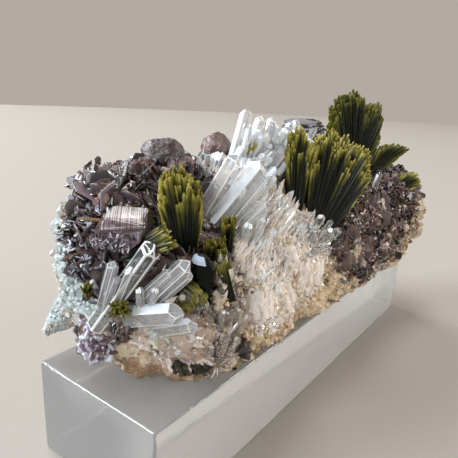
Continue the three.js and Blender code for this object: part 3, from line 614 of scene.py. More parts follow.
for place, out in surface_spots(CORNER, 220, dice, 1.0, 1):
    ahead = (out * 0.5 + Vector([dice.uniform(-0.9, 0.9) for _ in range(3)])).normalized()
    size = dice.uniform(0.6, 1.7)
    plate(heap, place - ahead * (0.35 * size), ahead, frame_of(ahead, dice.uniform(0, math.tau))[0], size, size,
          size * 0.16, dice.random(), dice)
    if size > 1.2:
        heap["kinds"][-20:] = [2] * 20
rose_axinite = axinite_material("rose_axinite", [(0.2, (0.12, 0.06, 0.055)), (0.8, (0.4, 0.25, 0.22))], 0.2, 700, 1)
place_heap("axinite_glints_left", heap, "axinite", [painted_sparkle_axinite, rose_axinite, dark_axinite])
FRONT_GLINTS = {"middle": (-60, 1.5, 50), "reach": (5.5, 7, 8.6), "along": (0.002, 0.1), "turn": (85, 190)}
# Small plates whose pale blue-white tones are painted glints of the window.
painted_glint_axinite = axinite_material(
    "painted_glint_axinite", [(0.1, (0.05, 0.04, 0.06)), (0.4, LILAC), (0.62, (0.42, 0.46, 0.56)), (0.85, (0.86, 0.9, 0.97))], 0.04)
dice, heap = random.Random(304), new_heap()
for place, out in surface_spots(FRONT_GLINTS, 760, dice, 1.3, 1):
    ahead = (out * 0.6 + Vector([dice.uniform(-0.9, 0.9) for _ in range(3)])).normalized()
    size = 0.5 + 1.1 * dice.random() ** 1.8
    plate(heap, place - ahead * (0.3 * size), ahead, frame_of(ahead, dice.uniform(0, math.tau))[0], size, size,
          size * 0.13, dice.random(), dice)
place_heap("axinite_glints_front", heap, "axinite", [painted_glint_axinite])
RIGHT_EDGE = {"middle": (60, -22, 28), "reach": (13, 8, 12)}
crust("axinite_plates_right", "axinite_crust_right", RIGHT_CRUST, 1.3, (300, 1100, 1500),
      ((2.6, 4.4), (1.7, 3.0), (0.8, 1.8)), brown_axinite, 402, 0.9, RIGHT_EDGE)

# The quartz druse: milky needles of quartz, packed side by side, that point up and out from a pale
# bed in the middle of the front, and the lower massive quartz at the left, ridged and pinkish.
DRUSE_BED = {"middle": (-19, -14, 39), "reach": (23, 9, 15), "along": (0.18, 0.54), "turn": (110, 225)}
LOW_QUARTZ = {"middle": (-51, -8.5, 29.5), "reach": (10, 9, 9.5), "along": (0.02, 0.2), "turn": (150, 220)}
MILKY, PINKISH, STAINED = (0.99, 0.955, 0.915), (0.97, 0.87, 0.75), (0.94, 0.82, 0.68)
QUARTZ_INDEX = 1.545


def quartz_material(name, shallow, deep, clear, least_rough, most_rough, lined, relief):
    """Quartz from milky to clear, with growth lines across its faces and cloudy places inside."""
    material, tree, shader = new_material(name)
    position = join(tree, "TexCoord").outputs["Object"]
    tone = join(tree, "Attribute", attribute_name="tone").outputs["Fac"]
    growth = join(tree, "Attribute", attribute_name="growth").outputs["Fac"]
    cloud = join(tree, "TexNoise", {"Vector": position, "Scale": 210, "Detail": 5}).outputs["Fac"]
    share = sums(tree, "ADD", tone, sums(tree, "SUBTRACT", cloud, 0.5))
    colour = ramp(tree, share, (0.15, deep), (0.75, shallow))
    uneven = join(tree, "TexNoise", {"Vector": position, "Scale": 420, "Detail": 2}).outputs["Fac"]
    steps = sums(tree, "MULTIPLY", growth, lined)
    steps = sums(tree, "ADD", steps, sums(tree, "MULTIPLY", uneven, 2))
    lines = sums(tree, "POWER", sums(tree, "ABSOLUTE", sums(tree, "SINE", steps)), 3)
    bump = join(tree, "Bump", {"Height": sums(tree, "ADD", lines, sums(tree, "MULTIPLY", uneven, 0.3)), "Strength": relief, "Distance": 0.0002})
    rough = join(tree, "MapRange", {"Value": cloud, "From Min": 0.4, "From Max": 0.7,
                                    "To Min": least_rough, "To Max": most_rough})
    tree.links.new(colour, shader.inputs["Base Color"])
    tree.links.new(rough.outputs["Result"], shader.inputs["Roughness"])
    tree.links.new(bump.outputs["Normal"], shader.inputs["Normal"])
    shader.inputs["Transmission Weight"].default_value = clear
    shader.inputs["IOR"].default_value = QUARTZ_INDEX
    return material


milky_quartz = quartz_material("milky_quartz", MILKY, PINKISH, 0.36, 0.03, 0.18, 3, 0.08)
clear_quartz = quartz_material("clear_quartz", (0.98, 0.99, 1), (0.92, 0.95, 0.97), 0.94, 0.0, 0.05, 2.6, 0.05)
frosted_quartz = quartz_material("frosted_quartz", (0.98, 0.99, 1), (0.9, 0.93, 0.95), 0.3, 0.15, 0.35, 2.6, 0.1)
hazy_quartz = quartz_material("hazy_quartz", (0.98, 0.99, 1), (0.93, 0.96, 0.98), 0.8, 0.0, 0.07, 2.6, 0.03)
# A whiter, less clear quartz: painted glints on whole needles and crystals, and painted window reflections on single
# faces.
painted_glint_quartz = quartz_material("painted_glint_quartz", (0.95, 0.98, 1), (0.86, 0.93, 1), 0.25, 0.03, 0.15, 2.6, 0.1)
misty_quartz = quartz_material("misty_quartz", (0.96, 0.98, 1), (0.88, 0.92, 0.97), 0.78, 0.0, 0.08, 2.6, 0.05)
smoky_quartz = quartz_material("smoky_quartz", (0.97, 0.93, 0.88), (0.85, 0.77, 0.68), 0.86, 0.0, 0.06, 3, 0.05)
bed_quartz = quartz_material("bed_quartz", (0.97, 0.93, 0.88), STAINED, 0.1, 0.3, 0.55, 4, 0.4)


def needle(heap, root, ahead, length, width, dice, taper=0.8, kind=0):
    """A six-sided quartz needle with an uneven point."""
    ahead = Vector(ahead).normalized()
    side, other = frame_of(ahead, dice.uniform(0, math.tau))
    flat = dice.uniform(0.65, 1)
    tip_height = min(width * dice.uniform(0.7, 1.2), 0.4 * length)
    lean = (dice.uniform(-0.25, 0.25) * width, dice.uniform(-0.25, 0.25) * width)
    radii = [width / 2 * dice.uniform(0.85, 1.12) for _ in range(6)]
    drops = [dice.uniform(0, 0.5) * tip_height for _ in range(6)]
    points, growth = [], []
    for share, grown in ((0, 1.0), (1, taper)):
        for i in range(6):
            angle = math.tau * i / 6
            height = share * (length - tip_height - drops[i])
            points.append(root + ahead * height + side * (radii[i] * grown * math.cos(angle))
                          + other * (radii[i] * grown * flat * math.sin(angle)))
            growth.append(height)
    points.append(root + ahead * length + side * lean[0] + other * lean[1])
    growth.append(length)
    faces = ring_faces(2, 6)[:-1] + [(12, 6 + i, 6 + (i + 1) % 6) for i in range(6)]
    pile(heap, points, faces, growth, dice.random(), kinds=[kind] * len(faces))


def druse_relief(places):
    return 0.7 * grains(places, 1.2, 21) + 0.6 * grains(places, 0.6, 23) + 0.5 * crags(places, 3, 3, 22) - 0.5


place_piece("druse_bed", bed_mesh("druse_bed", DRUSE_BED, 1.0, druse_relief, 150, 130), "druse", [bed_quartz])
dice = random.Random(77)
heap = new_heap()
for place, out in surface_spots(DRUSE_BED, 3500, dice, 0.5, 0.98, 23):
    high = (place.z - 26) / 28
    ahead = out * (0.95 - 0.5 * high) + Vector((0.1, 0, 0.8 + high)) + Vector([dice.uniform(-0.4, 0.4) for _ in range(3)])
    if high > 0.55 and place.x < -16:
        ahead = Vector((0.8, -0.45, 1.1)) + Vector([dice.uniform(-0.3, 0.3) for _ in range(3)])
    length = dice.uniform(1.6, 4.2) * (0.45 + 1.05 * max(0, high)) * dice.choice((1, 1, 1, 1.5))
    if place.x > -13:
        length *= max(0.5, 1 - 0.09 * (place.x + 13))
    width = dice.uniform(0.55, 1.4) * (0.58 + 0.62 * max(0, high))
    # One needle in six is of the whiter quartz, a painted glint.
    needle(heap, place - ahead.normalized() * 0.8, ahead, length, width, dice, kind=dice.choice((0, 0, 0, 0, 1, 2)))
place_heap("druse_needles", heap, "druse", [milky_quartz, painted_glint_quartz, hazy_quartz], "quartz_druse")
dice = random.Random(78)
heap = new_heap()
for place, out in surface_spots(DRUSE_BED, 420, dice, 0.4, 0.9, 27):
    high = (place.z - 26) / 28
    ahead = out * 0.5 + Vector((0.2, -0.1, 1.5)) + Vector([dice.uniform(-0.4, 0.4) for _ in range(3)])
    if high > 0.5 and place.x < -12:
        ahead = Vector((1.0, -0.5, 1.05)) + Vector([dice.uniform(-0.25, 0.25) for _ in range(3)])
    length = dice.uniform(3, 6.5) * (0.6 + 0.6 * max(0, high))
    # A quarter of the points are of the whiter quartz, a painted glint.
    needle(heap, place - ahead.normalized() * 1.2, ahead, length, dice.uniform(0.7, 1.4), dice,
           kind=int(dice.random() < 0.25))
place_heap("druse_points", heap, "druse", [clear_quartz, painted_glint_quartz])

SHOULDER = {"middle": (-12, -6, 56), "reach": (16, 8, 9), "along": (0.3, 0.52), "turn": (75, 135)}
dice, heap = random.Random(79), new_heap()
for place, out in surface_spots(SHOULDER, 420, dice, 0, 0.95, 44):
    ahead = out * 0.5 + Vector((0.65, -0.35, 0.9)) + Vector([dice.uniform(-0.5, 0.5) for _ in range(3)])
    length = dice.uniform(2, 5) * dice.choice((1, 1, 1.4))
    # One point in five is of the whiter quartz, a painted glint.
    needle(heap, place - ahead.normalized() * 0.9, ahead, length, length * dice.uniform(0.2, 0.34), dice,
           kind=dice.choice((0, 0, 0, 1, 2)))
place_heap("shoulder_points", heap, "quartz", [clear_quartz, painted_glint_quartz, milky_quartz])


def mass_relief(places):
    ridges = numpy.sin(places[:, 0] * 1.5 + places[:, 2] * 0.8 + 2 * crags(places, 5, 2, 31))
    return 0.35 * ridges + 0.5 * grains(places, 2.2, 32) + 0.5 * crags(places, 3, 3, 33)


pink_quartz = quartz_material("pink_quartz", (0.78, 0.66, 0.57), (0.5, 0.33, 0.23), 0.3, 0.12, 0.35, 4, 0.3)
place_piece("quartz_mass_bed", bed_mesh("quartz_mass_bed", LOW_QUARTZ, 1.4, mass_relief, 110, 90), "druse", [pink_quartz],
            "quartz_mass_left")
dice, heap = random.Random(81), new_heap()
for place, out in surface_spots(LOW_QUARTZ, 900, dice, 1.7, 0.9, 24):
    ahead = out * 0.6 + Vector((0.5, -0.6, 0.1)) + Vector([dice.uniform(-0.8, 0.8) for _ in range(3)])
    length = dice.uniform(1.2, 3)
    needle(heap, place - ahead.normalized() * 0.45 * length, ahead, length, length * dice.uniform(0.35, 0.6), dice,
           kind=dice.choice((0, 0, 1, 1, 2)))
place_heap("quartz_mass_ridges", heap, "druse", [pink_quartz, milky_quartz, hazy_quartz])

BETWEEN = {"middle": (-42.5, -15, 36), "reach": (6, 4.5, 8), "along": (0.05, 0.19), "turn": (166, 196)}
dice, heap = random.Random(82), new_heap()
for place, out in surface_spots(BETWEEN, 900, dice, 0.2, 1, 24):
    ahead = out * 0.35 + Vector((-0.25, -0.2, 1.1)) + Vector([dice.uniform(-0.35, 0.35) for _ in range(3)])
    length = dice.uniform(2.2, 5.6)
    needle(heap, place - ahead.normalized() * 0.3 * length, ahead, length, length * dice.uniform(0.16, 0.28), dice,
           kind=dice.choice((0, 0, 1, 2, 2) if place.z > 35 else (0, 0, 1, 1, 2)))
place_heap("needles_between", heap, "druse", [clear_quartz, smoky_quartz, milky_quartz])

# Where the rock is bare it is sugary: crumbs of the same stone and of pale quartz stand on it, mint
# and cream at the left rim and the foot, ochre and white low at the front, grey-cream at the back.
BARE = [
    ((0.0, 0.12), (-100, 75), 1700), ((0.0, 0.2), (175, 252), 1200), ((0.24, 0.66), (165, 232), 2100),
    ((0.4, 0.6), (95, 170), 500), ((0.06, 0.3), (-70, 50), 1200), ((0.3, 1.0), (-70, 88), 2700),
    ((0.55, 1.0), (190, 250), 1100),
]  # each row: where along the rock, where round it in degrees, and how many


def crumb(heap, place, size, dice):
    """A small blocky grain with uneven corners."""
    ahead = Vector([dice.gauss(0, 1) for _ in range(3)]).normalized()
    side, other = frame_of(ahead, dice.uniform(0, math.tau))
    points = []
    for height in (-0.4, 0.4):
        for i in range(4):
            angle = math.tau * (i + dice.uniform(-0.3, 0.3)) / 4
            radius = size / 2 * dice.uniform(0.75, 1.25)
            points.append(place + ahead * (height * size) + side * (radius * math.cos(angle))
                          + other * (radius * math.sin(angle)))
    pile(heap, points, ring_faces(2, 4), [0.0] * 8, dice.random())


sandy_stone, tree, shader = new_material("sandy_stone")
position = join(tree, "TexCoord").outputs["Object"]
tone = join(tree, "Attribute", attribute_name="tone").outputs["Fac"]
cloud = join(tree, "TexNoise", {"Vector": position, "Scale": 500, "Detail": 5}).outputs["Fac"]
mixed = sums(tree, "ADD", tone, sums(tree, "SUBTRACT", cloud, 0.5))
tree.links.new(ramp(tree, mixed, (0.05, RUST), (0.3, OCHRE), (0.6, TAN), (0.85, (0.72, 0.66, 0.52))),
               shader.inputs["Base Color"])
bump = join(tree, "Bump", {"Height": cloud, "Strength": 0.5, "Distance": 0.0003})
tree.links.new(bump.outputs["Normal"], shader.inputs["Normal"])
shader.inputs["Roughness"].default_value = 0.5
dice, heap = random.Random(55), new_heap()
skin_along, skin_turn = grid_along.ravel(), (numpy.degrees(grid_turn.ravel()) + 110) % 360 - 110
for (first, last), (low, high), count in BARE:
    within = numpy.flatnonzero((skin_along >= first) & (skin_along <= last) & (skin_turn > low)
                               & (skin_turn < high) & (skin[:, 2] > 20.9))
    for i in dice.sample(within.tolist(), count):
        size = 0.35 + 1.1 * dice.random() ** 2.4
        stray = Vector([dice.uniform(-0.2, 0.2) for _ in range(3)])
        crumb(heap, Vector(skin[i]) + Vector(skin_out[i]) * (0.1 * size) + stray, size, dice)
place_heap("matrix_crumbs", heap, "matrix", [matrix_stone])
dice, heap = random.Random(57), new_heap()
for place, out in surface_spots(DRUSE_BED, 5200, dice, 0.9, 1.0, 21.5):
    if dice.random() < 1.3 - (place.z - 22) / 22:
        size = 0.4 + 0.8 * dice.random() ** 2
        crumb(heap, place + out * dice.uniform(-0.1, 0.5), size, dice)
place_heap("druse_grains", heap, "druse", [milky_quartz])
RIGHT_RIM = {"middle": (62, -20, 29), "reach": (13, 10, 12), "along": (0.8, 0.99), "turn": (160, 235)}
LOW_RIM = {"middle": (40, -17, 24), "reach": (28, 8, 7), "along": (0.6, 0.97), "turn": (185, 225)}
heap = new_heap()
for rim, count, bed in ((RIGHT_RIM, 1700, 1.5), (LOW_RIM, 1400, 0.8)):
    for place, out in surface_spots(rim, count, dice, bed, 1, 21):
        crumb(heap, place + out * dice.uniform(-0.2, 0.5), 0.5 + 1.0 * dice.random() ** 2, dice)
place_heap("matrix_sand_right", heap, "matrix", [sandy_stone])
dice, heap = random.Random(56), new_heap()
for _ in range(1500):
    share, angle = dice.random() ** 0.8, dice.uniform(0, math.tau)
    place = FOOT_ROOT.lerp(FOOT_TIP, share)
    side, other = frame_of((FOOT_TIP - FOOT_ROOT).normalized(), angle)
    place = place + side * (FOOT_WIDTH / 2 * max(0.06, (1 - share) ** FOOT_TAPER) + 0.25)
    crumb(heap, place, 0.3 + 0.4 * dice.random() ** 2, dice)
place_heap("matrix_foot_crumbs", heap, "matrix", [matrix_stone])

# The epidote fans: thin, fluted laths of epidote that spread from one root like the leaves of a fan,
# black-green inside and yellow-green at their stepped, rounded tips. They are grown into the rock.
# Roots and crest are the lines that a fan's laths start from and end on, from its left to its right.
BLACK_GREEN, DEEP_OLIVE, OLIVE = (0.004, 0.0055, 0.0015), (0.02, 0.022, 0.003), (0.08, 0.08, 0.008)
LEAF, YELLOW_GREEN = (0.18, 0.162, 0.022), (0.46, 0.41, 0.09)
LATH_SIDES = 10
LATH_RINGS = ((0, 0.8), (0.3, 0.92), (0.6, 1), (0.85, 1), (0.95, 0.86), (0.985, 0.6), (1, 0.25))
BLUNT_RINGS = ((0, 0.8), (0.3, 0.92), (0.6, 1), (0.9, 1.02), (0.975, 0.95), (1, 0.7))
FACING_VIEW = Vector((-0.70, -0.71, 0.1))
FANS = {
    "epidote_fan_front": {
        "seed": 11, "lath": (0.58, 0.42), "groups": 10, "ragged": 0.26, "parts": [
            {"roots": [(-2.3, -8.9, 40.5), (-0.5, -10.9, 38.8), (2.2, -13.7, 40.0)],
             "crest": [(-1.9, -8.5, 57.0), (-0.2, -9.6, 64.6), (1.9, -11.6, 65.4), (4.6, -14.3, 64.0),
                       (7.4, -17.2, 62.2), (9.4, -19.2, 59.4), (9.7, -19.9, 55.0), (8.2, -18.6, 50.5)],
             "depth": 5.0, "columns": 52, "layers": 9},
            {"roots": [(-6.2, -6.8, 44.5), (-4.4, -8.6, 43.8)],
             "crest": [(-9.0, -5.9, 59.2), (-8.6, -6.5, 64.6), (-7.3, -7.9, 65.9), (-6.0, -9.1, 65.1),
                       (-4.6, -10.3, 61.2)],
             "depth": 3.4, "columns": 23, "layers": 7},
        ]},
    "epidote_fan_back": {
        "seed": 21, "lath": (0.8, 0.55), "groups": 11, "ragged": 0.17, "parts": [
            {"roots": [(38.0, -1.0, 50.5), (39.6, -2.6, 50.5)],
             "crest": [(33.2, 4.0, 62.6), (33.4, 3.9, 69.4), (34.9, 2.6, 73.4), (37.6, -0.1, 74.7),
                       (40.2, -2.7, 73.8), (41.8, -4.3, 70.6)],
             "depth": 5.4, "columns": 28, "layers": 7},
            {"roots": [(39.6, -2.8, 51), (41.4, -4.6, 51)],
             "crest": [(41.4, -4.4, 70.2), (43.2, -5.9, 71.8), (44.9, -7.5, 71.0), (45.6, -8.3, 66.2),
                       (45.2, -8.2, 60.0)],
             "depth": 4.2, "columns": 18, "layers": 6},
        ]},
    "epidote_fan_left": {
        "seed": 31, "lath": (0.46, 0.36), "groups": 11, "ragged": 0.3, "parts": [
            {"roots": [(-45.9, -7.4, 44.4), (-44.9, -8.4, 44.0), (-43.7, -9.4, 43.6)],
             "crest": [(-49.2, -6.6, 50.6), (-50.6, -6.7, 55.2), (-50.8, -7.5, 58.4), (-50.4, -8.6, 60.3),
                       (-49.0, -10.4, 61.3), (-47.4, -11.4, 60.0), (-46.0, -12.2, 58.2), (-45.0, -12.2, 54.6)],
             "depth": 3.6, "columns": 38, "layers": 9},
        ]},
    "epidote_tuft_right": {
        "seed": 41, "lath": (0.8, 0.5), "groups": 7, "ragged": 0.28, "parts": [
            {"roots": [(41.6, -8.0, 52.6), (42.0, -8.6, 50.6)],
             "crest": [(43.0, -9.4, 58.2), (46.0, -11.9, 59.4), (49.4, -14.4, 59.0), (52.0, -16.4, 57.6),
                       (49.4, -14.6, 55.4), (47.0, -13.0, 52.6)],
             "depth": 4.4, "columns": 18, "layers": 5},
        ]},
    "epidote_spray_right": {
        "seed": 51, "lath": (0.75, 0.5), "groups": 5, "ragged": 0.25, "parts": [
            {"roots": [(49.0, -12.6, 44.6), (49.4, -13.4, 42.6)],
             "crest": [(52.4, -15.8, 49.4), (54.6, -17.8, 50.3), (57.0, -19.6, 48.8), (57.4, -20.2, 46.4),
                       (55.4, -18.8, 44.6)],
             "depth": 3, "columns": 11, "layers": 4},
        ]},
}


def along_line(line, share):
    place = share * (len(line) - 1)
    i = min(int(place), len(line) - 2)
    return Vector(line[i]).lerp(Vector(line[i + 1]), place - i)


def lath(heap, root, tip, width, thickness, facing, tone, dice):
    """One fluted lath. Its growth is the distance from its tip, in mm."""
    ahead = tip - root
    length = ahead.length
    ahead = ahead / length
    side = ahead.cross(facing).normalized()
    other = side.cross(ahead)
    turned = dice.uniform(-0.35, 0.35)
    side, other = math.cos(turned) * side + math.sin(turned) * other, math.cos(turned) * other - math.sin(turned) * side
    bow = (side * dice.uniform(-1, 1) + other * dice.uniform(-1, 1)) * 0.012 * length
    blunt = dice.random() < 0.45
    rings = BLUNT_RINGS if blunt else LATH_RINGS
    points, growth, ridge = [], [], []
    for share, grown in rings:
        if share > 0.6:
            share = 1 - (1 - share) * min(1, 9 / length)
        middle = root + ahead * (share * length) + bow * (4 * share * (1 - share))
        for i in range(LATH_SIDES):
            angle = math.tau * i / LATH_SIDES
            stand = grown * (1 if i % 2 else 0.72)
            points.append(middle + side * (stand * width / 2 * math.cos(angle))
                          + other * (stand * thickness / 2 * math.sin(angle)))
            growth.append((1 - share) * length)
            ridge.append(float(i % 2))
    pile(heap, points, ring_faces(len(rings), LATH_SIDES), growth, tone, ridge)


def fan(heap, part, lath_size, groups, ragged, dice):
    """Laths in several layers. Neighbours end together in steps, and the outer layers end lower."""
    columns, layers = part["columns"], part["layers"]
    for layer in range(layers):
        deep = layer / max(1, layers - 1) - 0.5
        steps = [dice.random() for _ in range(groups + 1)]
        for column in range(columns):
            share = min(1, max(0, (column + 0.5 + dice.uniform(-0.5, 0.5)) / columns))
            offset = FACING_VIEW * (deep * part["depth"])
            root = along_line(part["roots"], share) + offset * 0.6
            tip = along_line(part["crest"], share) + offset
            short = ragged * steps[int(share * groups)] * (0.4 + 1.2 * abs(deep)) + dice.uniform(0, 0.07)
            short += 0.16 * max(0, abs(deep) - 0.1)
            tip = root + (tip - root) * (1.035 - short)
            # Laths at the fan's two edges get paler tones: partly the epidote's own yellow-green and partly painted
            # light on the fan's edges.
            at_edge = max(0, abs(share - 0.5) - 0.36) / 0.14
            first_of_group = 0.3 * (share * groups % 1 < 0.22)
            tone = min(1, 0.65 * dice.random() ** 1.5 + 0.5 * at_edge + first_of_group)
            size = dice.uniform(0.75, 1.2)
            lath(heap, root, tip, lath_size[0] * size, lath_size[1] * size, FACING_VIEW, tone, dice)


def epidote_material(name, stops, reach, gloss, shine=0.3):
    """Epidote: darker away from the tips, each lath in a tone of its own, paler on its ridges and darker in its
    grooves, a painted shade.
    """
    material, tree, shader = new_material(name)
    position = join(tree, "TexCoord").outputs["Object"]
    tone = join(tree, "Attribute", attribute_name="tone").outputs["Fac"]
    growth = join(tree, "Attribute", attribute_name="growth").outputs["Fac"]
    ridge = join(tree, "Attribute", attribute_name="ridge").outputs["Fac"]
    cloud = join(tree, "TexNoise", {"Vector": position, "Scale": 480, "Detail": 4}).outputs["Fac"]
    fade = sums(tree, "ADD", sums(tree, "MULTIPLY", tone, 4 * reach), reach)
    paler = sums(tree, "SUBTRACT", 1, sums(tree, "DIVIDE", growth, fade), clamp=True)
    # Ridges are made paler and grooves darker: painted shade in the grooves.
    paler = sums(tree, "ADD", paler, sums(tree, "MULTIPLY", sums(tree, "SUBTRACT", ridge, 0.6), 0.22))
    paler = sums(tree, "ADD", paler, sums(tree, "MULTIPLY", sums(tree, "SUBTRACT", cloud, 0.5), 0.7))
    colour = ramp(tree, paler, *stops)
    fine = join(tree, "TexNoise", {"Vector": position, "Scale": 2600, "Detail": 2}).outputs["Fac"]
    bump = join(tree, "Bump", {"Height": fine, "Strength": 0.25, "Distance": 0.0002})
    rough = join(tree, "MapRange", {"Value": cloud, "To Min": gloss, "To Max": gloss + 0.25})
    tree.links.new(colour, shader.inputs["Base Color"])
    tree.links.new(rough.outputs["Result"], shader.inputs["Roughness"])
    tree.links.new(bump.outputs["Normal"], shader.inputs["Normal"])
    shader.inputs["IOR"].default_value = 1.5
    shader.inputs["Specular IOR Level"].default_value = shine
    return material


GREEN_STOPS = ((0.16, BLACK_GREEN), (0.4, DEEP_OLIVE), (0.62, OLIVE), (0.8, LEAF), (1.0, YELLOW_GREEN))
DARK_STOPS = ((0.2, BLACK_GREEN), (0.55, DEEP_OLIVE), (0.85, OLIVE), (1.0, LEAF))
BLADE_STOPS = ((0.2, BLACK_GREEN), (0.5, DEEP_OLIVE), (0.72, OLIVE), (0.9, LEAF), (1.0, (0.26, 0.23, 0.06)))
green_epidote = epidote_material("green_epidote", GREEN_STOPS, 2.2, 0.25)
dark_epidote = epidote_material("dark_epidote", DARK_STOPS, 2.6, 0.16)
olive_epidote = epidote_material("olive_epidote", BLADE_STOPS, 1.5, 0.16)
FAN_FINISH = {"epidote_fan_front": green_epidote, "epidote_fan_left": green_epidote,
              "epidote_fan_back": dark_epidote, "epidote_tuft_right": dark_epidote,
              "epidote_spray_right": green_epidote}
for name, made in FANS.items():
    dice, heap = random.Random(made["seed"]), new_heap()
    for part in made["parts"]:
        fan(heap, part, made["lath"], made["groups"], made["ragged"], dice)
    slot = "dark_epidote" if name == "epidote_tuft_right" else "epidote"
    place_heap(name.replace("epidote", "laths"), heap, slot, [FAN_FINISH[name]], name)

# The small epidote: single striated blades of a few laths side by side, a round tuft low at the
# left, and a short black prism with a blunt end that carries a painted blue-white glint. All are the same mineral as
# the fans.
Z_SIDE, FAN_SIDE = (0, 0, 1), (0.75, -0.66, 0)
BLADES = {
    "epidote_blades_middle": [
        ((-36.8, -10.6, 40), (-38, -12.5, 51.4), 2.6, 1.7, FAN_SIDE), ((-38, -10.6, 40.4), (-40, -12, 47.6), 2.2, 1.5, FAN_SIDE),
        ((-41, -10.6, 40.4), (-43, -12, 47.8), 2.4, 1.6, FAN_SIDE), ((-39.5, -10.8, 39.6), (-41, -12.5, 45.8), 3.4, 1.7, FAN_SIDE)],
    "epidote_blade_lower": [
        ((-38, -13.6, 34.4), (-41, -13.7, 43.6), 2.8, 1.8, FAN_SIDE), ((-38.5, -13.8, 33.6), (-40, -15, 40), 2, 1.5, FAN_SIDE)],
    "epidote_blade_forked": [
        ((-56, -5.2, 46), (-53.5, -14, 50.5), 2.4, 1.5, Z_SIDE), ((-56, -5.2, 46.8), (-53, -12, 52), 1.8, 1.4, Z_SIDE)],
    "epidote_blades_low": [
        ((-50.5, -8.8, 43), (-49, -15.5, 39.5), 2.8, 1.7, Z_SIDE), ((-49, -9.8, 42), (-47.5, -15.5, 38), 2.6, 1.7, Z_SIDE),
        ((-50, -9.8, 40), (-50, -14.5, 37), 2.4, 1.6, (1, 0, 1)),
        ((-41.8, -16.6, 37.0), (-43.9, -15.2, 44.8), 1.9, 1.1, FAN_SIDE)],
    "epidote_pair_top": [
        ((-19.8, -1, 57), (-16.6, -3.3, 62.8), 1.5, 1, FAN_SIDE), ((-20.8, -0.8, 57), (-18.6, -3.1, 61.8), 1.3, 0.9, FAN_SIDE)],
}


def blade(heap, root, tip, width, thickness, side, dice, share=0.75):
    """A blade of laths that grew side by side and end unevenly."""
    root, tip = Vector(root), Vector(tip)
    ahead = (tip - root).normalized()
    side = (Vector(side) - Vector(side).dot(ahead) * ahead).normalized()
    facing = side.cross(ahead)
    columns = max(4, round(width / 0.38))
    for layer in (-0.5, 0, 0.5):
        for column in range(columns):
            across = ((column + 0.5) / columns - 0.5) * width
            offset = facing * (layer * thickness * 0.6)
            start = root + side * (across * share) + offset
            end = tip + side * across + offset - ahead * (dice.uniform(0, 0.14) * (tip - root).length
                                                         + abs(layer) * 0.8)
            lath(heap, start, end, 0.46, max(0.36, thickness * 0.4), facing, dice.random(), dice)


for name, blades in BLADES.items():
    dice, heap = random.Random(len(name)), new_heap()
    for root, tip, width, thickness, side in blades:
        blade(heap, root, tip, width, thickness, side, dice)
    place_heap(name.replace("epidote", "striated"), heap, "epidote",
               [green_epidote if name == "epidote_pair_top" else olive_epidote], name)

dice, heap = random.Random(61), new_heap()
for _ in range(90):
    ahead = Vector((-0.5, -0.5, 0.6)) + Vector([dice.uniform(-0.95, 0.95) for _ in range(3)])
    start = Vector((-58.2, -6.2, 37.9)) + Vector([dice.uniform(-0.5, 0.5) for _ in range(3)])
    lath(heap, start, start + ahead.normalized() * dice.uniform(1.3, 2.3), 0.5, 0.36,
         ahead.orthogonal().normalized(), dice.random() * 0.5, dice)
for _ in range(14):
    ahead = Vector((-0.15, -0.35, 0.9)) + Vector([dice.uniform(-0.3, 0.3) for _ in range(3)])
    start = Vector((-61, -0.7, 39)) + Vector([dice.uniform(-0.4, 0.4) for _ in range(3)])
    lath(heap, start, start + ahead.normalized() * dice.uniform(2.2, 3.8), 0.45, 0.34,
         ahead.orthogonal().normalized(), dice.random() * 0.5, dice)
place_heap("striated_tuft_low", heap, "epidote", [dark_epidote], "epidote_tuft_low")

GLINT_RINGS, GLINT_TURN, GLINT_REACH = (3, 6), 3.6, 1.2
BLACK_PRISM = [((-45.8, -13, 36.4), (-47.5, -14.2, 46.6), 3.7, 2.7), ((-45, -12.6, 36), (-45.9, -13.2, 44.6), 2.2, 2)]
black_epidote = epidote_material("black_epidote", ((0.3, (0.002, 0.003, 0.002)), (0.9, (0.01, 0.01, 0.006)), (1.0, DEEP_OLIVE)),
                                 1.5, 0.03, 0.14)
# A pale blue-white material for a few faces at the top left of the black prism's end: a painted glint.
painted_glint_face, tree, shader = new_material("painted_glint_face")
cloud = join(tree, "TexNoise", {"Scale": 900, "Detail": 2}).outputs["Fac"]
tree.links.new(ramp(tree, cloud, (0.3, (0.3, 0.42, 0.6)), (0.7, (0.75, 0.86, 1))), shader.inputs["Base Color"])
shader.inputs["Roughness"].default_value = 0.1
dice, heap = random.Random(66), new_heap()
for root, tip, width, thickness in BLACK_PRISM:
    root, tip = Vector(root), Vector(tip)
    ahead = (tip - root).normalized()
    side = (Vector(FAN_SIDE) - Vector(FAN_SIDE).dot(ahead) * ahead).normalized()
    other = ahead.cross(side)
    points, growth, ridge = [], [], []
    sides = 22
    rings = ((0, 0.9), (0.4, 1), (0.8, 1), (0.9, 0.96), (0.96, 0.82), (0.99, 0.6), (1, 0.42))
    for share, grown in rings:
        for i in range(sides):
            angle = math.tau * i / sides
            across = math.copysign(abs(math.cos(angle)) ** 0.7, math.cos(angle))
            deep = math.copysign(abs(math.sin(angle)) ** 0.7, math.sin(angle))
            stand = grown * (1 if i % 2 else 0.955)
            points.append(root + (tip - root) * share + side * (across * stand * width / 2)
                          + other * (deep * stand * thickness / 2) - ahead * (0.5 * (1 + across) * grown))
            growth.append((1 - share) * (tip - root).length)
            ridge.append(float(i % 2))
    faces = ring_faces(len(rings), sides)
    # Faces at the top left of the end take the painted glint.
    kinds = [int(GLINT_RINGS[0] * sides <= min(face) < GLINT_RINGS[1] * sides
                 and abs(math.tau * (min(face) % sides) / sides - GLINT_TURN) < GLINT_REACH) for face in faces]
    kinds[0] = kinds[-1] = 0
    pile(heap, points, faces, growth, dice.random() * 0.3, ridge, kinds)
place_heap("black_prism", heap, "dark_epidote", [black_epidote, painted_glint_face], "epidote_prism_dark")

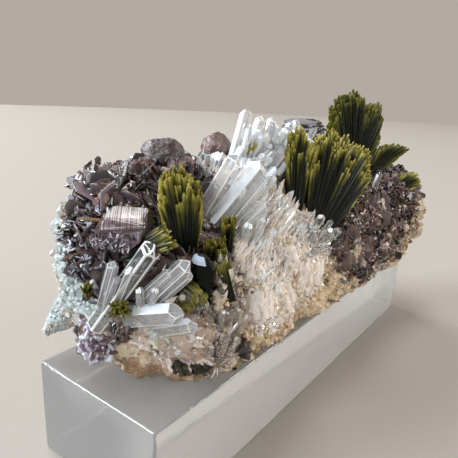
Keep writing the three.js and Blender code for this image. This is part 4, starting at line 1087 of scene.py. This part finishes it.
# The big quartz crystals: clear six-sided prisms with pointed ends, grown out of the rock singly and
# in bundles. Each is cut here as nature cut it: a prism with uneven sides, ended by six slanting
# faces of which three are large, and its edges are worn a little. On many, the broad face turned
# towards a window is made of a whiter, less clear quartz: a painted reflection of the window.
FACE_SLANT = math.radians(38.2)
POLISHED, RIMMED = 0.06, 0.6
UPWARD_GLINT_WAY = Vector((-0.3, -0.2, 0.93)).normalized()
WINDOW_GLINT_WAY = Vector((-0.82, 0.14, 0.45)).normalized()


def crystal(heap, root, tip, width, dice, side=(0, 0, 1), flat=0.8, edge=POLISHED, rim=0, taper=0.9, tone=None,
            glint_way=UPWARD_GLINT_WAY, body_kind=0, border=0):
    root, tip = Vector(root), Vector(tip)
    length = (tip - root).length
    ahead = (tip - root) / length
    across = Vector(side) - Vector(side).dot(ahead) * ahead
    across = across.normalized() if across.length > 0.01 else ahead.orthogonal().normalized()
    other = ahead.cross(across)
    body = bmesh.new()
    radii = [width / 2 * dice.uniform(0.9, 1.1) for _ in range(6)]
    rings = [[body.verts.new((r * grown * math.cos(math.tau * i / 6), r * grown * flat * math.sin(math.tau * i / 6), z))
              for i, r in enumerate(radii)] for grown, z in ((1, 0), (taper, length * 1.3))]
    for i in range(6):
        body.faces.new((rings[0][i], rings[0][(i + 1) % 6], rings[1][(i + 1) % 6], rings[1][i]))
    body.faces.new(rings[0][::-1])
    body.faces.new(rings[1])
    turned = dice.choice((0, 1))
    for i in range(6):
        angle = math.tau * (i + 0.5) / 6
        facing = Vector((math.cos(angle) * math.cos(FACE_SLANT), math.sin(angle) * math.cos(FACE_SLANT),
                         math.sin(FACE_SLANT) * 1.15)).normalized()
        further = dice.uniform(0, 0.12) if (i + turned) % 2 else dice.uniform(0.1, 0.32)
        base = Vector((0, 0, length)) + facing * (width * (further - 0.04))
        cut = bmesh.ops.bisect_plane(body, geom=body.verts[:] + body.edges[:] + body.faces[:], plane_co=base,
                                     plane_no=facing, clear_outer=True)
        edges = [g for g in cut["geom_cut"] if isinstance(g, bmesh.types.BMEdge)]
        if edges:
            bmesh.ops.edgenet_fill(body, edges=edges)
    bmesh.ops.remove_doubles(body, verts=body.verts, dist=0.02)
    bmesh.ops.bevel(body, geom=body.edges[:], offset=edge, segments=2 if rim else 1, profile=0.5,
                    affect="EDGES", clamp_overlap=True, material=rim if rim else -1)
    bmesh.ops.recalc_face_normals(body, faces=body.faces)
    body.normal_update()
    if border:
        broad = [face for face in body.faces if face.calc_area() > 0.1 * width * width]
        framed = bmesh.ops.inset_individual(body, faces=broad, thickness=border, use_even_offset=True)
        for face in framed["faces"]:
            face.material_index = 1
    # The broad face that turns most towards the given direction takes the whiter quartz, a painted reflection of the
    # window.
    if glint_way:
        broad = [face for face in body.faces if face.calc_area() > 0.1 * width * width]
        facings = [(across * f.normal.x + other * f.normal.y + ahead * f.normal.z).dot(glint_way) for f in broad]
        if max(facings) > 0.8:
            broad[facings.index(max(facings))].material_index = 2
    body.verts.index_update()
    points = [root + across * v.co.x + other * v.co.y + ahead * v.co.z for v in body.verts]
    pile(heap, points, [tuple(v.index for v in f.verts) for f in body.faces], [v.co.z for v in body.verts],
         dice.random() if tone is None else tone, kinds=[f.material_index or body_kind for f in body.faces])
    body.free()


def chips(heap, middle, reach, count, size, dice, up=(0, 0, 1)):
    """Small crystals that hide the root of a bundle, strewn over a round mass."""
    for _ in range(count):
        out = Vector([dice.gauss(0, 1) for _ in range(3)]).normalized()
        place = Vector([m + o * r for m, o, r in zip(middle, out, reach)])
        ahead = out + Vector(up) * dice.uniform(0.2, 1.2)
        long = size * dice.uniform(0.8, 2.2)
        needle(heap, place - ahead.normalized() * (0.5 * long), ahead, long, size * dice.uniform(0.5, 0.9), dice)


CRYSTALS = {
    "quartz_prisms_main": [
        ((-38.6, -5.6, 48.6), (-33, -10, 61), 4.6, (0, 1, 0.6), 0.62), ((-38, -7, 47.6), (-28, -12, 60), 4.8, (0, 1, 0.8), 0.7),
        ((-35.4, -8.3, 46.4), (-27, -12.5, 57), 3.6, (0, 1, 0.8), 0.8), ((-31, -6.5, 50), (-24, -10.5, 58.4), 2.2, (0, 1, 1), 0.9),
        ((-30, -8, 48.5), (-22.5, -12.2, 56.6), 2.6, (0, 1, 1), 0.8), ((-27, -7, 50), (-20, -10.8, 58), 2.0, (0, 1, 1), 0.8)],
    "quartz_stubby_left": [
        ((-54, -8, 38.6), (-51.5, -15, 46.5), 3.3, (0, 0, 1), 0.85), ((-53.1, -9.2, 38.4), (-51, -14.8, 44.6), 2.2, (0, 0, 1), 0.8),
        ((-55, -7.2, 38.8), (-53, -12.6, 44.9), 2.0, (0, 0, 1), 0.8)],
    "quartz_flat_left": [
        ((-56.8, -5, 35.4), (-52.8, -15.2, 38.1), 4.1, (0, 0, 1), 0.85), ((-55, -7.6, 36.2), (-56.5, -9, 42), 1.8, (1, 0, 0), 0.9),
        ((-54.5, -9, 36.7), (-55, -11, 42), 1.6, (1, 0, 0), 0.9), ((-54, -8, 32.8), (-51, -16.5, 36), 3.2, (0, 0, 1), 0.8)],
    "quartz_prism_second": [
        ((-34.6, -9.2, 45.2), (-28, -14, 52.5), 3.2, (0, 1, 0.8), 0.8), ((-30, -11.6, 41.6), (-29, -14, 49.5), 2, (1, 0, 0), 0.9),
        ((-32.5, -11, 42), (-33, -13.5, 49), 2.2, (1, 0, 0), 0.9)],
    "quartz_points_crest": [
        ((-33, -2, 53), (-34, -2.5, 61.5), 3, (1, 0, 0), 0.9), ((-31, -2, 53), (-30, -3, 61), 3.4, (1, 0, 0), 0.9),
        ((-28.5, -1, 54), (-27, -2, 60.5), 2.6, (1, 0, 0), 0.9)],
    "quartz_points_front": [
        ((-6, -12.2, 39.4), (-5.5, -15.5, 46), 2.4, (1, 0, 0), 0.9), ((-1, -13.2, 36.6), (0, -18, 42), 2.4, (1, 0, 0), 0.9),
        ((-4, -13.2, 36.4), (-3.5, -17.5, 42.5), 2.2, (1, 0, 0), 0.9), ((-7.5, -13.4, 36), (-6.5, -18, 39.5), 2.4, (1, 0, 0), 0.9),
        ((-2.4, -13, 38), (-2.2, -16.4, 44.2), 1.8, (1, 0, 0), 0.9), ((-8.2, -12.6, 37.6), (-9, -16, 42.8), 1.9, (1, 0, 0), 0.9)],
    "quartz_point_right": [((34, -12, 43), (34.5, -14, 51.5), 2.4, (1, 0, 0), 0.8)],
    "quartz_points_low": [
        ((-43, -13.4, 25.4), (-47.5, -16, 36), 1.9, (1, 0, 0), 0.8), ((-42.5, -14, 25.4), (-45, -17, 36.5), 1.7, (1, 0, 0), 0.8),
        ((-42, -13.6, 25.4), (-42.5, -17.5, 36), 2.0, (1, 0, 0), 0.8), ((-41, -14.4, 25.4), (-40, -17.5, 35), 1.7, (1, 0, 0), 0.8),
        ((-40, -14.4, 24.4), (-37.5, -17.5, 33), 1.8, (1, 0, 0), 0.8), ((-43.5, -13, 24.6), (-47.5, -16.5, 30), 2.0, (1, 0, 0), 0.8),
        ((-42.4, -14.4, 24), (-44.2, -17.8, 31.5), 1.8, (1, 0, 0), 0.8), ((-41, -15, 23.6), (-41, -18, 30), 1.7, (1, 0, 0), 0.8)],
    "quartz_crown": [
        ((-20.6, 0.4, 57), (-18.4, -1.4, 69.2), 2.8, (1, -0.8, 0), 0.8), ((-15.5, 0.4, 56.5), (-12.6, -1.8, 67.6), 3.0, (1, -0.8, 0), 0.8),
        ((-11, 0.6, 56), (-8, -1.6, 67.2), 2.7, (1, -0.8, 0), 0.8), ((0, -1, 56), (2, -2, 65), 2.8, (1, -0.8, 0), 0.8),
        ((-17.4, 0, 56), (-17, -0.4, 66.2), 2.2, (1, 0, 0), 0.8), ((-12, -1, 56), (-10.8, -2, 64.6), 2.2, (1, 0, 0), 0.8),
        ((-6, 0, 56), (-4.6, -0.8, 65), 2.4, (1, 0, 0), 0.8), ((-3, -0.5, 56), (-2.4, -1.6, 63.4), 2.1, (1, 0, 0), 0.8),
        ((-9, -2, 55.5), (-4, -5, 61.5), 1.9, (1, 0, 0), 0.8), ((-4, -2, 56), (0.5, -4.4, 61.4), 1.8, (1, 0, 0), 0.8),
        ((-2, 1, 56), (3, 0.4, 63), 2.1, (1, 0, 0), 0.8), ((-8, 1, 56), (-10.4, 3, 64.4), 1.7, (1, 0, 0), 0.8),
        ((-13, -2, 55.5), (-8.4, -5, 61), 1.8, (1, 0, 0), 0.8), ((-16, -2, 55.5), (-13.4, -5, 60.8), 1.7, (1, 0, 0), 0.8),
        ((-5, -1, 56), (-7.4, -2.6, 63.6), 1.5, (1, 0, 0), 0.8), ((1, 0, 56), (5.2, -1.4, 62), 1.9, (1, 0, 0), 0.8),
        ((2, 0, 56), (5.6, -0.6, 66.4), 2.6, (1, -0.8, 0), 0.8), ((-2, 0, 56), (1.2, -1.4, 66), 2.4, (1, -0.8, 0), 0.8),
        ((-7, -1, 56), (-2.2, -2.4, 65), 2.4, (1, -0.8, 0), 0.8), ((4, 1, 56), (8.4, 0, 64.6), 2.4, (1, 0, 0), 0.8)],
}
MAIN_GLINT_WAY = Vector((-0.8, -0.3, 0.52)).normalized()
GLINT_FACED = {"quartz_prisms_main": (1, 3, 5), "quartz_crown": (0, 1, 2, 3, 6, 8, 10, 16, 17, 18), "quartz_point_right": (0,)}
HAZY = ("quartz_prisms_main", "quartz_stubby_left", "quartz_flat_left", "quartz_prism_second", "quartz_crown")
CHIPS = {
    "quartz_crown": ((-10, 0, 57), (12.5, 3, 2.6), 230, 1.3),
    "quartz_points_front": ((-4, -14, 37.2), (5.6, 2.8, 3), 60, 1.1),
    "quartz_points_low": ((-42, -14, 25.8), (4.6, 3, 4.2), 60, 1.1),
    "quartz_points_crest": ((-30.5, -1.8, 54.6), (4, 1.8, 2), 26, 1.1),
}
for name, members in CRYSTALS.items():
    dice, heap = random.Random(7 + len(name)), new_heap()
    for i, (root, tip, width, side, flat) in enumerate(members):
        glint_way = UPWARD_GLINT_WAY if name not in GLINT_FACED else WINDOW_GLINT_WAY if i in GLINT_FACED[name] else None
        if glint_way and name == "quartz_prisms_main":
            glint_way = MAIN_GLINT_WAY
        rimmed = width > 2.5
        crystal(heap, root, tip, width, dice, side, flat, 0.1 if rimmed else POLISHED, int(rimmed), glint_way=glint_way,
                border=0.1 if name == "quartz_stubby_left" else 0)
    if name == "quartz_crown":
        # Many of these extra crystals get a painted window reflection on one face, and half are wholly of the whiter
        # quartz, a painted glint.
        for _ in range(44):
            root = Vector((dice.uniform(-23, 3), dice.uniform(-4.5, 0.5), dice.uniform(53.5, 56.5)))
            ahead = Vector((dice.uniform(0, 1), dice.uniform(-0.8, 0), 0.9)).normalized()
            crystal(heap, root, root + ahead * dice.uniform(4, 8), dice.uniform(1.4, 2.6), dice, flat=0.8,
                    glint_way=WINDOW_GLINT_WAY if dice.random() < 0.6 else None, body_kind=dice.choice((0, 2)))
        for _ in range(30):
            root = Vector((dice.uniform(-22, 5), dice.uniform(-2.5, 1), 56.5))
            ahead = Vector((dice.uniform(-0.1, 0.6), dice.uniform(-0.5, 0.1), 1)).normalized()
            crystal(heap, root, root + ahead * dice.uniform(5.5, 9.5), dice.uniform(1.7, 2.7), dice, flat=0.75,
                    glint_way=WINDOW_GLINT_WAY if dice.random() < 0.7 else None, body_kind=dice.choice((0, 2)))
    if name == "quartz_points_low":
        for _ in range(16):
            root = Vector((dice.uniform(-44.5, -38.5), dice.uniform(-14.6, -13.2), dice.uniform(24, 28)))
            ahead = Vector((dice.uniform(-0.35, 0.1), dice.uniform(-0.4, -0.15), 1)).normalized()
            crystal(heap, root, root + ahead * dice.uniform(5, 9.5), dice.uniform(0.9, 1.5), dice, flat=0.8)
    if name in CHIPS:
        chips(heap, *CHIPS[name], dice)
    body_quartz = hazy_quartz if name in HAZY else clear_quartz
    if name == "quartz_stubby_left":
        body_quartz = misty_quartz
    elif name == "quartz_points_low":
        body_quartz = smoky_quartz
    place_heap(name.replace("quartz", "crystals"), heap, "quartz", [body_quartz, frosted_quartz, painted_glint_quartz], name)

dice, heap = random.Random(7), new_heap()
crystal(heap, (-58.9, -0.6, 33.2), (-55, -11, 49.5), 4.3, dice, (0.3, 0, 1), 0.8, RIMMED, 1, 0.95, glint_way=None,
        border=0.17)
# These points get a painted window reflection on the face turned to the window.
crystal(heap, (-59, -2.2, 36.6), (-59, -6, 46.5), 2.4, dice, (1, 0, 0), 0.8, 0.12, 1, body_kind=3, glint_way=WINDOW_GLINT_WAY,
        border=0.1)
crystal(heap, (-58.6, -3, 36.2), (-58.4, -6.4, 43.8), 1.9, dice, (1, 0, 0), 0.8, 0.1, 1, body_kind=3, glint_way=WINDOW_GLINT_WAY)
crystal(heap, (-58, -3.2, 34.6), (-57.5, -8.5, 45.5), 2.4, dice, (1, 0, 0), 0.8, 0.12, 1, body_kind=3, glint_way=WINDOW_GLINT_WAY,
        border=0.1)
place_heap("crystals_long_left", heap, "quartz", [clear_quartz, frosted_quartz, painted_glint_quartz, misty_quartz],
           "quartz_long_left")

STREWN_LEFT = {"middle": (-51.5, -12.5, 38), "reach": (5.5, 5, 5.5), "along": (0.02, 0.22), "turn": (140, 205)}
dice, heap = random.Random(97), new_heap()
for place, out in surface_spots(STREWN_LEFT, 60, dice, -0.4, 1):
    ahead = (out + Vector((-0.15, -0.3, 0.6)) + Vector([dice.uniform(-0.6, 0.6) for _ in range(3)])).normalized()
    length = dice.uniform(2.5, 5.5)
    # Some of these get a painted window reflection on one face.
    crystal(heap, place - ahead * 0.6, place + ahead * length, length * dice.uniform(0.28, 0.42), dice,
            ahead.orthogonal(), 0.8, glint_way=WINDOW_GLINT_WAY if dice.random() < 0.3 else None)
STREWN_END = {"middle": (-60, 1.5, 38), "reach": (4, 7, 6.5), "along": (0.002, 0.03), "turn": (150, 225)}
for place, out in surface_spots(STREWN_END, 110, dice, 0, 1):
    ahead = (out * 0.5 + Vector((0.1, -0.35, 0.8)) + Vector([dice.uniform(-0.6, 0.6) for _ in range(3)])).normalized()
    length = dice.uniform(1.6, 3.8)
    # Some get a painted window reflection on one face, and a third are wholly of the whiter quartz, a painted glint.
    crystal(heap, place - ahead * 0.8, place + ahead * length, length * dice.uniform(0.28, 0.42), dice,
            ahead.orthogonal(), 0.8, glint_way=WINDOW_GLINT_WAY if dice.random() < 0.4 else None, body_kind=dice.choice((0, 0, 2)))
place_heap("crystals_strewn_left", heap, "quartz", [clear_quartz, frosted_quartz, painted_glint_quartz])

# The single axinite crystals: a big wedge whose up-facing top faces carry a painted pale sheen with
# lines, two rounded crystals on the skyline, layered slabs behind the crown, a violet cluster at the lower left, and
# one grain.
WEDGE_FRONT = [(-58.7, -3.7, 52.9), (-54.7, -7.7, 52.7), (-59.9, -3.9, 51.5), (-54.9, -8.6, 51.8),
               (-61.3, -3.2, 49.2), (-58.0, -7.6, 47.8), (-55.8, -8.6, 49.4), (-54.2, -8.2, 51.5)]
WEDGE_BACK = [(-54.9, -1.7, 53.9), (-51.2, -5.5, 53.5), (-56.0, 0.6, 52.5), (-50.6, -4.4, 51.5),
              (-57.0, 0.5, 47.5), (-52.0, -3.5, 47.0)]

WEDGE_STEP = [(-60.0, -4.4, 51.4), (-55.2, -8.7, 51.7), (-59.0, -3.0, 51.7), (-54.2, -7.2, 52.0),
              (-60.3, -3.9, 50.6), (-56.6, -7.4, 49.4), (-58.0, -2.0, 49.6), (-54.6, -6.4, 49.6)]


def hull(heap, corners, edge, tone, lines=(0, 0, 1), glint_way=None):
    """A solid crystal with flat faces between the given corners."""
    body = bmesh.new()
    for corner in corners:
        body.verts.new(corner)
    made = bmesh.ops.convex_hull(body, input=body.verts)
    bmesh.ops.delete(body, geom=list(set(made["geom_interior"] + made["geom_unused"])), context="VERTS")
    bmesh.ops.dissolve_limit(body, angle_limit=math.radians(4), verts=body.verts, edges=body.edges)
    bmesh.ops.bevel(body, geom=body.edges[:], offset=edge, segments=2, affect="EDGES", clamp_overlap=True)
    bmesh.ops.recalc_face_normals(body, faces=body.faces)
    body.normal_update()
    body.verts.index_update()
    pile(heap, [v.co.copy() for v in body.verts], [tuple(v.index for v in f.verts) for f in body.faces],
         [v.co.dot(Vector(lines)) for v in body.verts], tone,
         # Faces turned towards the given direction take the second material, a painted sheen.
         kinds=[1 if glint_way and f.normal.dot(glint_way) > 0.8 else 0 for f in body.faces])
    body.free()


wedge_axinite = axinite_material(
    "wedge_axinite", [(0.15, (0.01, 0.007, 0.012)), (0.45, (0.06, 0.036, 0.045)), (0.65, (0.18, 0.13, 0.15)),
                      (0.95, (0.5, 0.46, 0.56))], 0.04, 800, 1.1, 0.7, 0.8)
# The pale, lined axinite on the wedge's up-facing top faces is a painted sheen of the window.
painted_sheen_axinite = axinite_material(
    "painted_sheen_axinite", [(0.1, (0.12, 0.08, 0.075)), (0.45, (0.36, 0.3, 0.29)), (0.8, (0.8, 0.77, 0.77))], 0.12, 500, 0.9, 0.4, 1.8)
dice, heap = random.Random(91), new_heap()
hull(heap, WEDGE_FRONT + WEDGE_BACK, 0.15, 0.55, (1, -1, 0), Vector((-0.2, -0.2, 0.95)).normalized())
hull(heap, WEDGE_STEP, 0.12, 0.35, (1, -1, 0), Vector((-0.2, -0.2, 0.95)).normalized())
for _ in range(150):
    share, low = dice.random(), dice.random() ** 0.6
    high = Vector(WEDGE_FRONT[2]).lerp(Vector(WEDGE_FRONT[3]), share)
    foot = Vector(WEDGE_FRONT[4]).lerp(Vector(WEDGE_FRONT[5]), share)
    ahead = Vector((-0.7, -0.6, 0)) + Vector([dice.uniform(-0.8, 0.8) for _ in range(3)])
    size = dice.uniform(0.4, 1.1)
    place = high.lerp(foot, 0.25 + 0.75 * low) - ahead.normalized() * (0.35 * size)
    plate(heap, place, ahead, frame_of(ahead.normalized(), dice.uniform(0, 6))[0], size, size * 1.2, size * 0.2,
          dice.random(), dice)
place_heap("axinite_wedge_crystal", heap, "axinite", [wedge_axinite, painted_sheen_axinite], "axinite_wedge")


def rounded(heap, middle, reach, facets, tone, dice):
    """A rounded crystal made of many small faces."""
    spots = []
    for i in range(facets):
        z = 1 - 2 * (i + 0.5) / facets
        angle = i * 2.399963 + dice.uniform(-0.3, 0.3)
        flat = math.sqrt(1 - z * z)
        out = Vector((flat * math.cos(angle), flat * math.sin(angle), z)) * dice.uniform(0.9, 1)
        spots.append(Vector([m + o * r for m, o, r in zip(middle, out, reach)]))
    hull(heap, spots, 0.04, tone)


dome_axinite = axinite_material(
    "dome_axinite", [(0.1, (0.012, 0.007, 0.01)), (0.4, (0.035, 0.018, 0.019)), (0.62, (0.075, 0.038, 0.034)),
                     (0.85, (0.18, 0.108, 0.09)), (1.0, (0.32, 0.25, 0.26))], 0.18, 380, 1.1, 0.25)


def worn(heap, middle, reach, faces, tone, seed):
    """A crystal worn round: a ball of stone with blunt flat faces, scars and fine pits."""
    ball = bmesh.new()
    bmesh.ops.create_icosphere(ball, subdivisions=5, radius=1)
    dice = random.Random(seed)
    cuts = [Vector([dice.gauss(0, 1) for _ in range(3)]).normalized() for _ in range(faces)]
    places = [v.co.copy() for v in ball.verts]
    scars = crags([p * 4 for p in places], 2.2, 5, seed) + 0.8 * crags([p * 4 for p in places], 0.7, 4, seed + 1)
    points = []
    for out, scar in zip(places, scars):
        far = min([1.0] + [0.86 / max(0.1, out.dot(cut)) for cut in cuts if out.dot(cut) > 0.5])
        far = (0.15 + 0.85 * far) * (1 + 0.035 * float(scar))
        points.append(Vector([m + o * r * far for m, o, r in zip(middle, out, reach)]))
    pile(heap, points, [tuple(v.index for v in f.verts) for f in ball.faces], [3 * p.z + p.x for p in points], tone)
    ball.free()


def leaning_plates(heap, middle, reach, count, sizes, dice):
    """Flat crystals that lean on the foot of a rounded one."""
    for _ in range(count):
        angle = dice.uniform(0, math.tau)
        place = Vector(middle) + Vector((reach[0] * math.cos(angle), reach[1] * math.sin(angle), dice.uniform(-0.8, 0.6)))
        ahead = Vector((dice.uniform(-0.9, 0.9), dice.uniform(-0.6, 0.6), dice.uniform(0.3, 0.9)))
        size = dice.uniform(*sizes)
        plate(heap, place - ahead.normalized() * 0.4 * size, ahead, frame_of(ahead.normalized(), dice.uniform(0, 6))[0],
              size, size * dice.uniform(0.9, 1.5), size * 0.16, dice.random(), dice)


dice, heap = random.Random(92), new_heap()
worn(heap, (-40.2, 2.2, 60.4), (4.4, 4.2, 3.6), 13, 0.28, 5)
leaning_plates(heap, (-41.4, 0.2, 58.4), (4.4, 3.6), 64, (2.0, 3.8), dice)
place_heap("axinite_round_left", heap, "axinite", [dome_axinite], "axinite_dome_left")
heap = new_heap()
worn(heap, (-20.5, 5, 60.0), (3.7, 3.4, 3.9), 11, 0.8, 6)
leaning_plates(heap, (-21.5, 3.8, 57.6), (3.6, 3.0), 34, (1.4, 2.8), dice)
place_heap("axinite_round_right", heap, "axinite", [dome_axinite], "axinite_dome_right")

slate_axinite = axinite_material(
    "slate_axinite", [(0.1, (0.025, 0.022, 0.033)), (0.4, (0.075, 0.07, 0.095)), (0.7, (0.17, 0.168, 0.225)),
                      (0.95, (0.38, 0.4, 0.5))], 0.14)
dice, heap = random.Random(93), new_heap()
SLABS_LOW, SLABS_HIGH = (24.2, 7.0, 54), (21.6, 6.2, 64.8)
SLAB_LAYERS, SLAB_CORNERS = 16, 22
for layer in range(SLAB_LAYERS):
    share = layer / (SLAB_LAYERS - 1)
    middle = Vector(SLABS_LOW).lerp(Vector(SLABS_HIGH), share) + Vector((dice.uniform(-0.7, 0.7), dice.uniform(-0.5, 0.5), 0))
    wide, deep = 8.8 - 1.0 * share + dice.uniform(-0.9, 0.6), 5.6 - 1.2 * share + dice.uniform(-0.5, 0.4)
    lean_x, lean_y = dice.uniform(-0.02, 0.14), dice.uniform(-0.05, 0.1)
    corners = []
    for i in range(SLAB_CORNERS):
        angle = math.tau * (i + dice.uniform(-0.35, 0.35)) / SLAB_CORNERS
        far = dice.uniform(0.86, 1.06)
        corners.append((wide * far * math.cos(angle), deep * far * math.sin(angle)))
    points, growth = [], []
    for height, grown in ((-0.45, 0.93), (-0.2, 1), (0.25, 0.99), (0.5, 0.92)):
        for x, y in corners:
            x, y = x * grown, y * grown
            points.append(middle + Vector((x, y, height * 0.95 + lean_x * x + lean_y * y)))
            growth.append(x + y)
    pile(heap, points, ring_faces(4, SLAB_CORNERS), growth, dice.random())
    for _ in range(7):
        angle = dice.uniform(0, math.tau)
        out = Vector((math.cos(angle), math.sin(angle), dice.uniform(-0.2, 0.2)))
        size = dice.uniform(1.6, 3.2)
        place = middle + Vector((wide * math.cos(angle), deep * math.sin(angle), dice.uniform(-0.4, 0.4)))
        plate(heap, place - out * 0.7 * size, out, out.cross(Vector((dice.uniform(-0.2, 0.2), 0, 1))),
              size, size * dice.uniform(0.9, 1.5), dice.uniform(0.3, 0.6), dice.random(), dice)
place_heap("axinite_slabs_back", heap, "axinite", [slate_axinite], "axinite_plate_back")

# Violet-brown axinite; its palest blue-white tone stands for glints, a painted highlight.
violet_axinite = axinite_material(
    "violet_axinite", [(0.05, (0.04, 0.02, 0.025)), (0.35, (0.13, 0.065, 0.06)), (0.6, (0.27, 0.22, 0.29)),
                       (0.85, (0.62, 0.65, 0.76))], 0.06)
dice, heap = random.Random(94), new_heap()
rounded(heap, (-56.6, 2.8, 29), (2.6, 4, 4.8), 40, 0.3, dice)
for _ in range(190):
    out = Vector((dice.uniform(-1, 0.5), dice.uniform(-1, 1), dice.uniform(-0.8, 0.9))).normalized()
    place = Vector((-56.6, 2.6, 29)) + Vector((out.x * 2.2, out.y * 3.6, out.z * 4.4))
    size = dice.uniform(0.9, 2.6)
    side, _ = frame_of(out, dice.uniform(0, math.tau))
    stray = Vector([dice.uniform(-1.2, 1.2) for _ in range(3)])
    plate(heap, place - out * 0.4 * size, out + stray, side, size, size * 1.1, size * 0.28, dice.random(), dice)
BROWN_BAND = [Vector(p) for p in ((-57.9, -5.2, 36.6), (-56.0, -7.6, 35.6), (-58.2, -4.8, 34.3), (-58.5, -3.8, 32.4),
                                  (-57.0, -6.4, 34.2), (-58.0, -3.9, 30.6), (-57.5, -5.6, 32.2))]
first_brown = len(heap["kinds"])
for _ in range(260):
    shares = [dice.random() ** 3 for _ in BROWN_BAND]
    place = sum((p * s for p, s in zip(BROWN_BAND, shares)), Vector()) / sum(shares)
    ahead = Vector((-0.75, -0.6, 0.1)) + Vector([dice.uniform(-0.8, 0.8) for _ in range(3)])
    size = dice.uniform(0.7, 1.8)
    place = place + Vector([dice.uniform(-0.7, 0.7) for _ in range(3)])
    plate(heap, place - ahead.normalized() * 0.5 * size, ahead, frame_of(ahead.normalized(), dice.uniform(0, math.tau))[0],
          size, size * 1.2, size * 0.28, dice.random() * 0.8, dice)
heap["kinds"][first_brown:] = [1] * (len(heap["kinds"]) - first_brown)
place_heap("axinite_violet_low", heap, "axinite", [violet_axinite, brown_axinite], "axinite_cluster_low")

dice, heap = random.Random(95), new_heap()
for turn_by in range(5):
    out = Vector((-0.3, -0.9, 0.3)) + Vector([dice.uniform(-0.5, 0.5) for _ in range(3)])
    plate(heap, Vector((-37, -14.6, 25)), out, frame_of(out.normalized(), turn_by)[0], 3.4, 3, 1.3,
          dice.random() * 0.6, dice)
place_heap("axinite_grain_front", heap, "axinite", [dome_axinite], "axinite_grain_low")

# The chlorite: a small patch of dull, dark green-grey grains low at the left, crusted on the quartz.
CHLORITE_DARK, CHLORITE_PALE = (0.007, 0.006, 0.004), (0.06, 0.05, 0.028)
chlorite, tree, shader = new_material("chlorite_grains")
position = join(tree, "TexCoord").outputs["Object"]
tone = join(tree, "Attribute", attribute_name="tone").outputs["Fac"]
cloud = join(tree, "TexNoise", {"Vector": position, "Scale": 1500, "Detail": 4}).outputs["Fac"]
mixed = sums(tree, "ADD", sums(tree, "MULTIPLY", tone, 0.5), sums(tree, "MULTIPLY", cloud, 0.5))
tree.links.new(ramp(tree, mixed, (0.2, CHLORITE_DARK), (0.8, CHLORITE_PALE)), shader.inputs["Base Color"])
bump = join(tree, "Bump", {"Height": cloud, "Strength": 0.5, "Distance": 0.0003})
tree.links.new(bump.outputs["Normal"], shader.inputs["Normal"])
shader.inputs["Roughness"].default_value = 0.6
dice, heap = random.Random(96), new_heap()
for middle, reach in (((-49, -12, 25.4), (2.1, 1.9, 1.4)), ((-46.5, -13.5, 25), (1.9, 1.9, 1.3))):
    for _ in range(75):
        out = Vector([dice.gauss(0, 1) for _ in range(3)]).normalized()
        place = Vector([m + o * r for m, o, r in zip(middle, out, reach)])
        size = dice.uniform(0.3, 0.6)
        rounded(heap, place, (size, size, size), 12, dice.random(), dice)
    rounded(heap, middle, reach, 30, 0.2, dice)
place_heap("chlorite_crumbs", heap, "chlorite", [chlorite], "chlorite_patch")
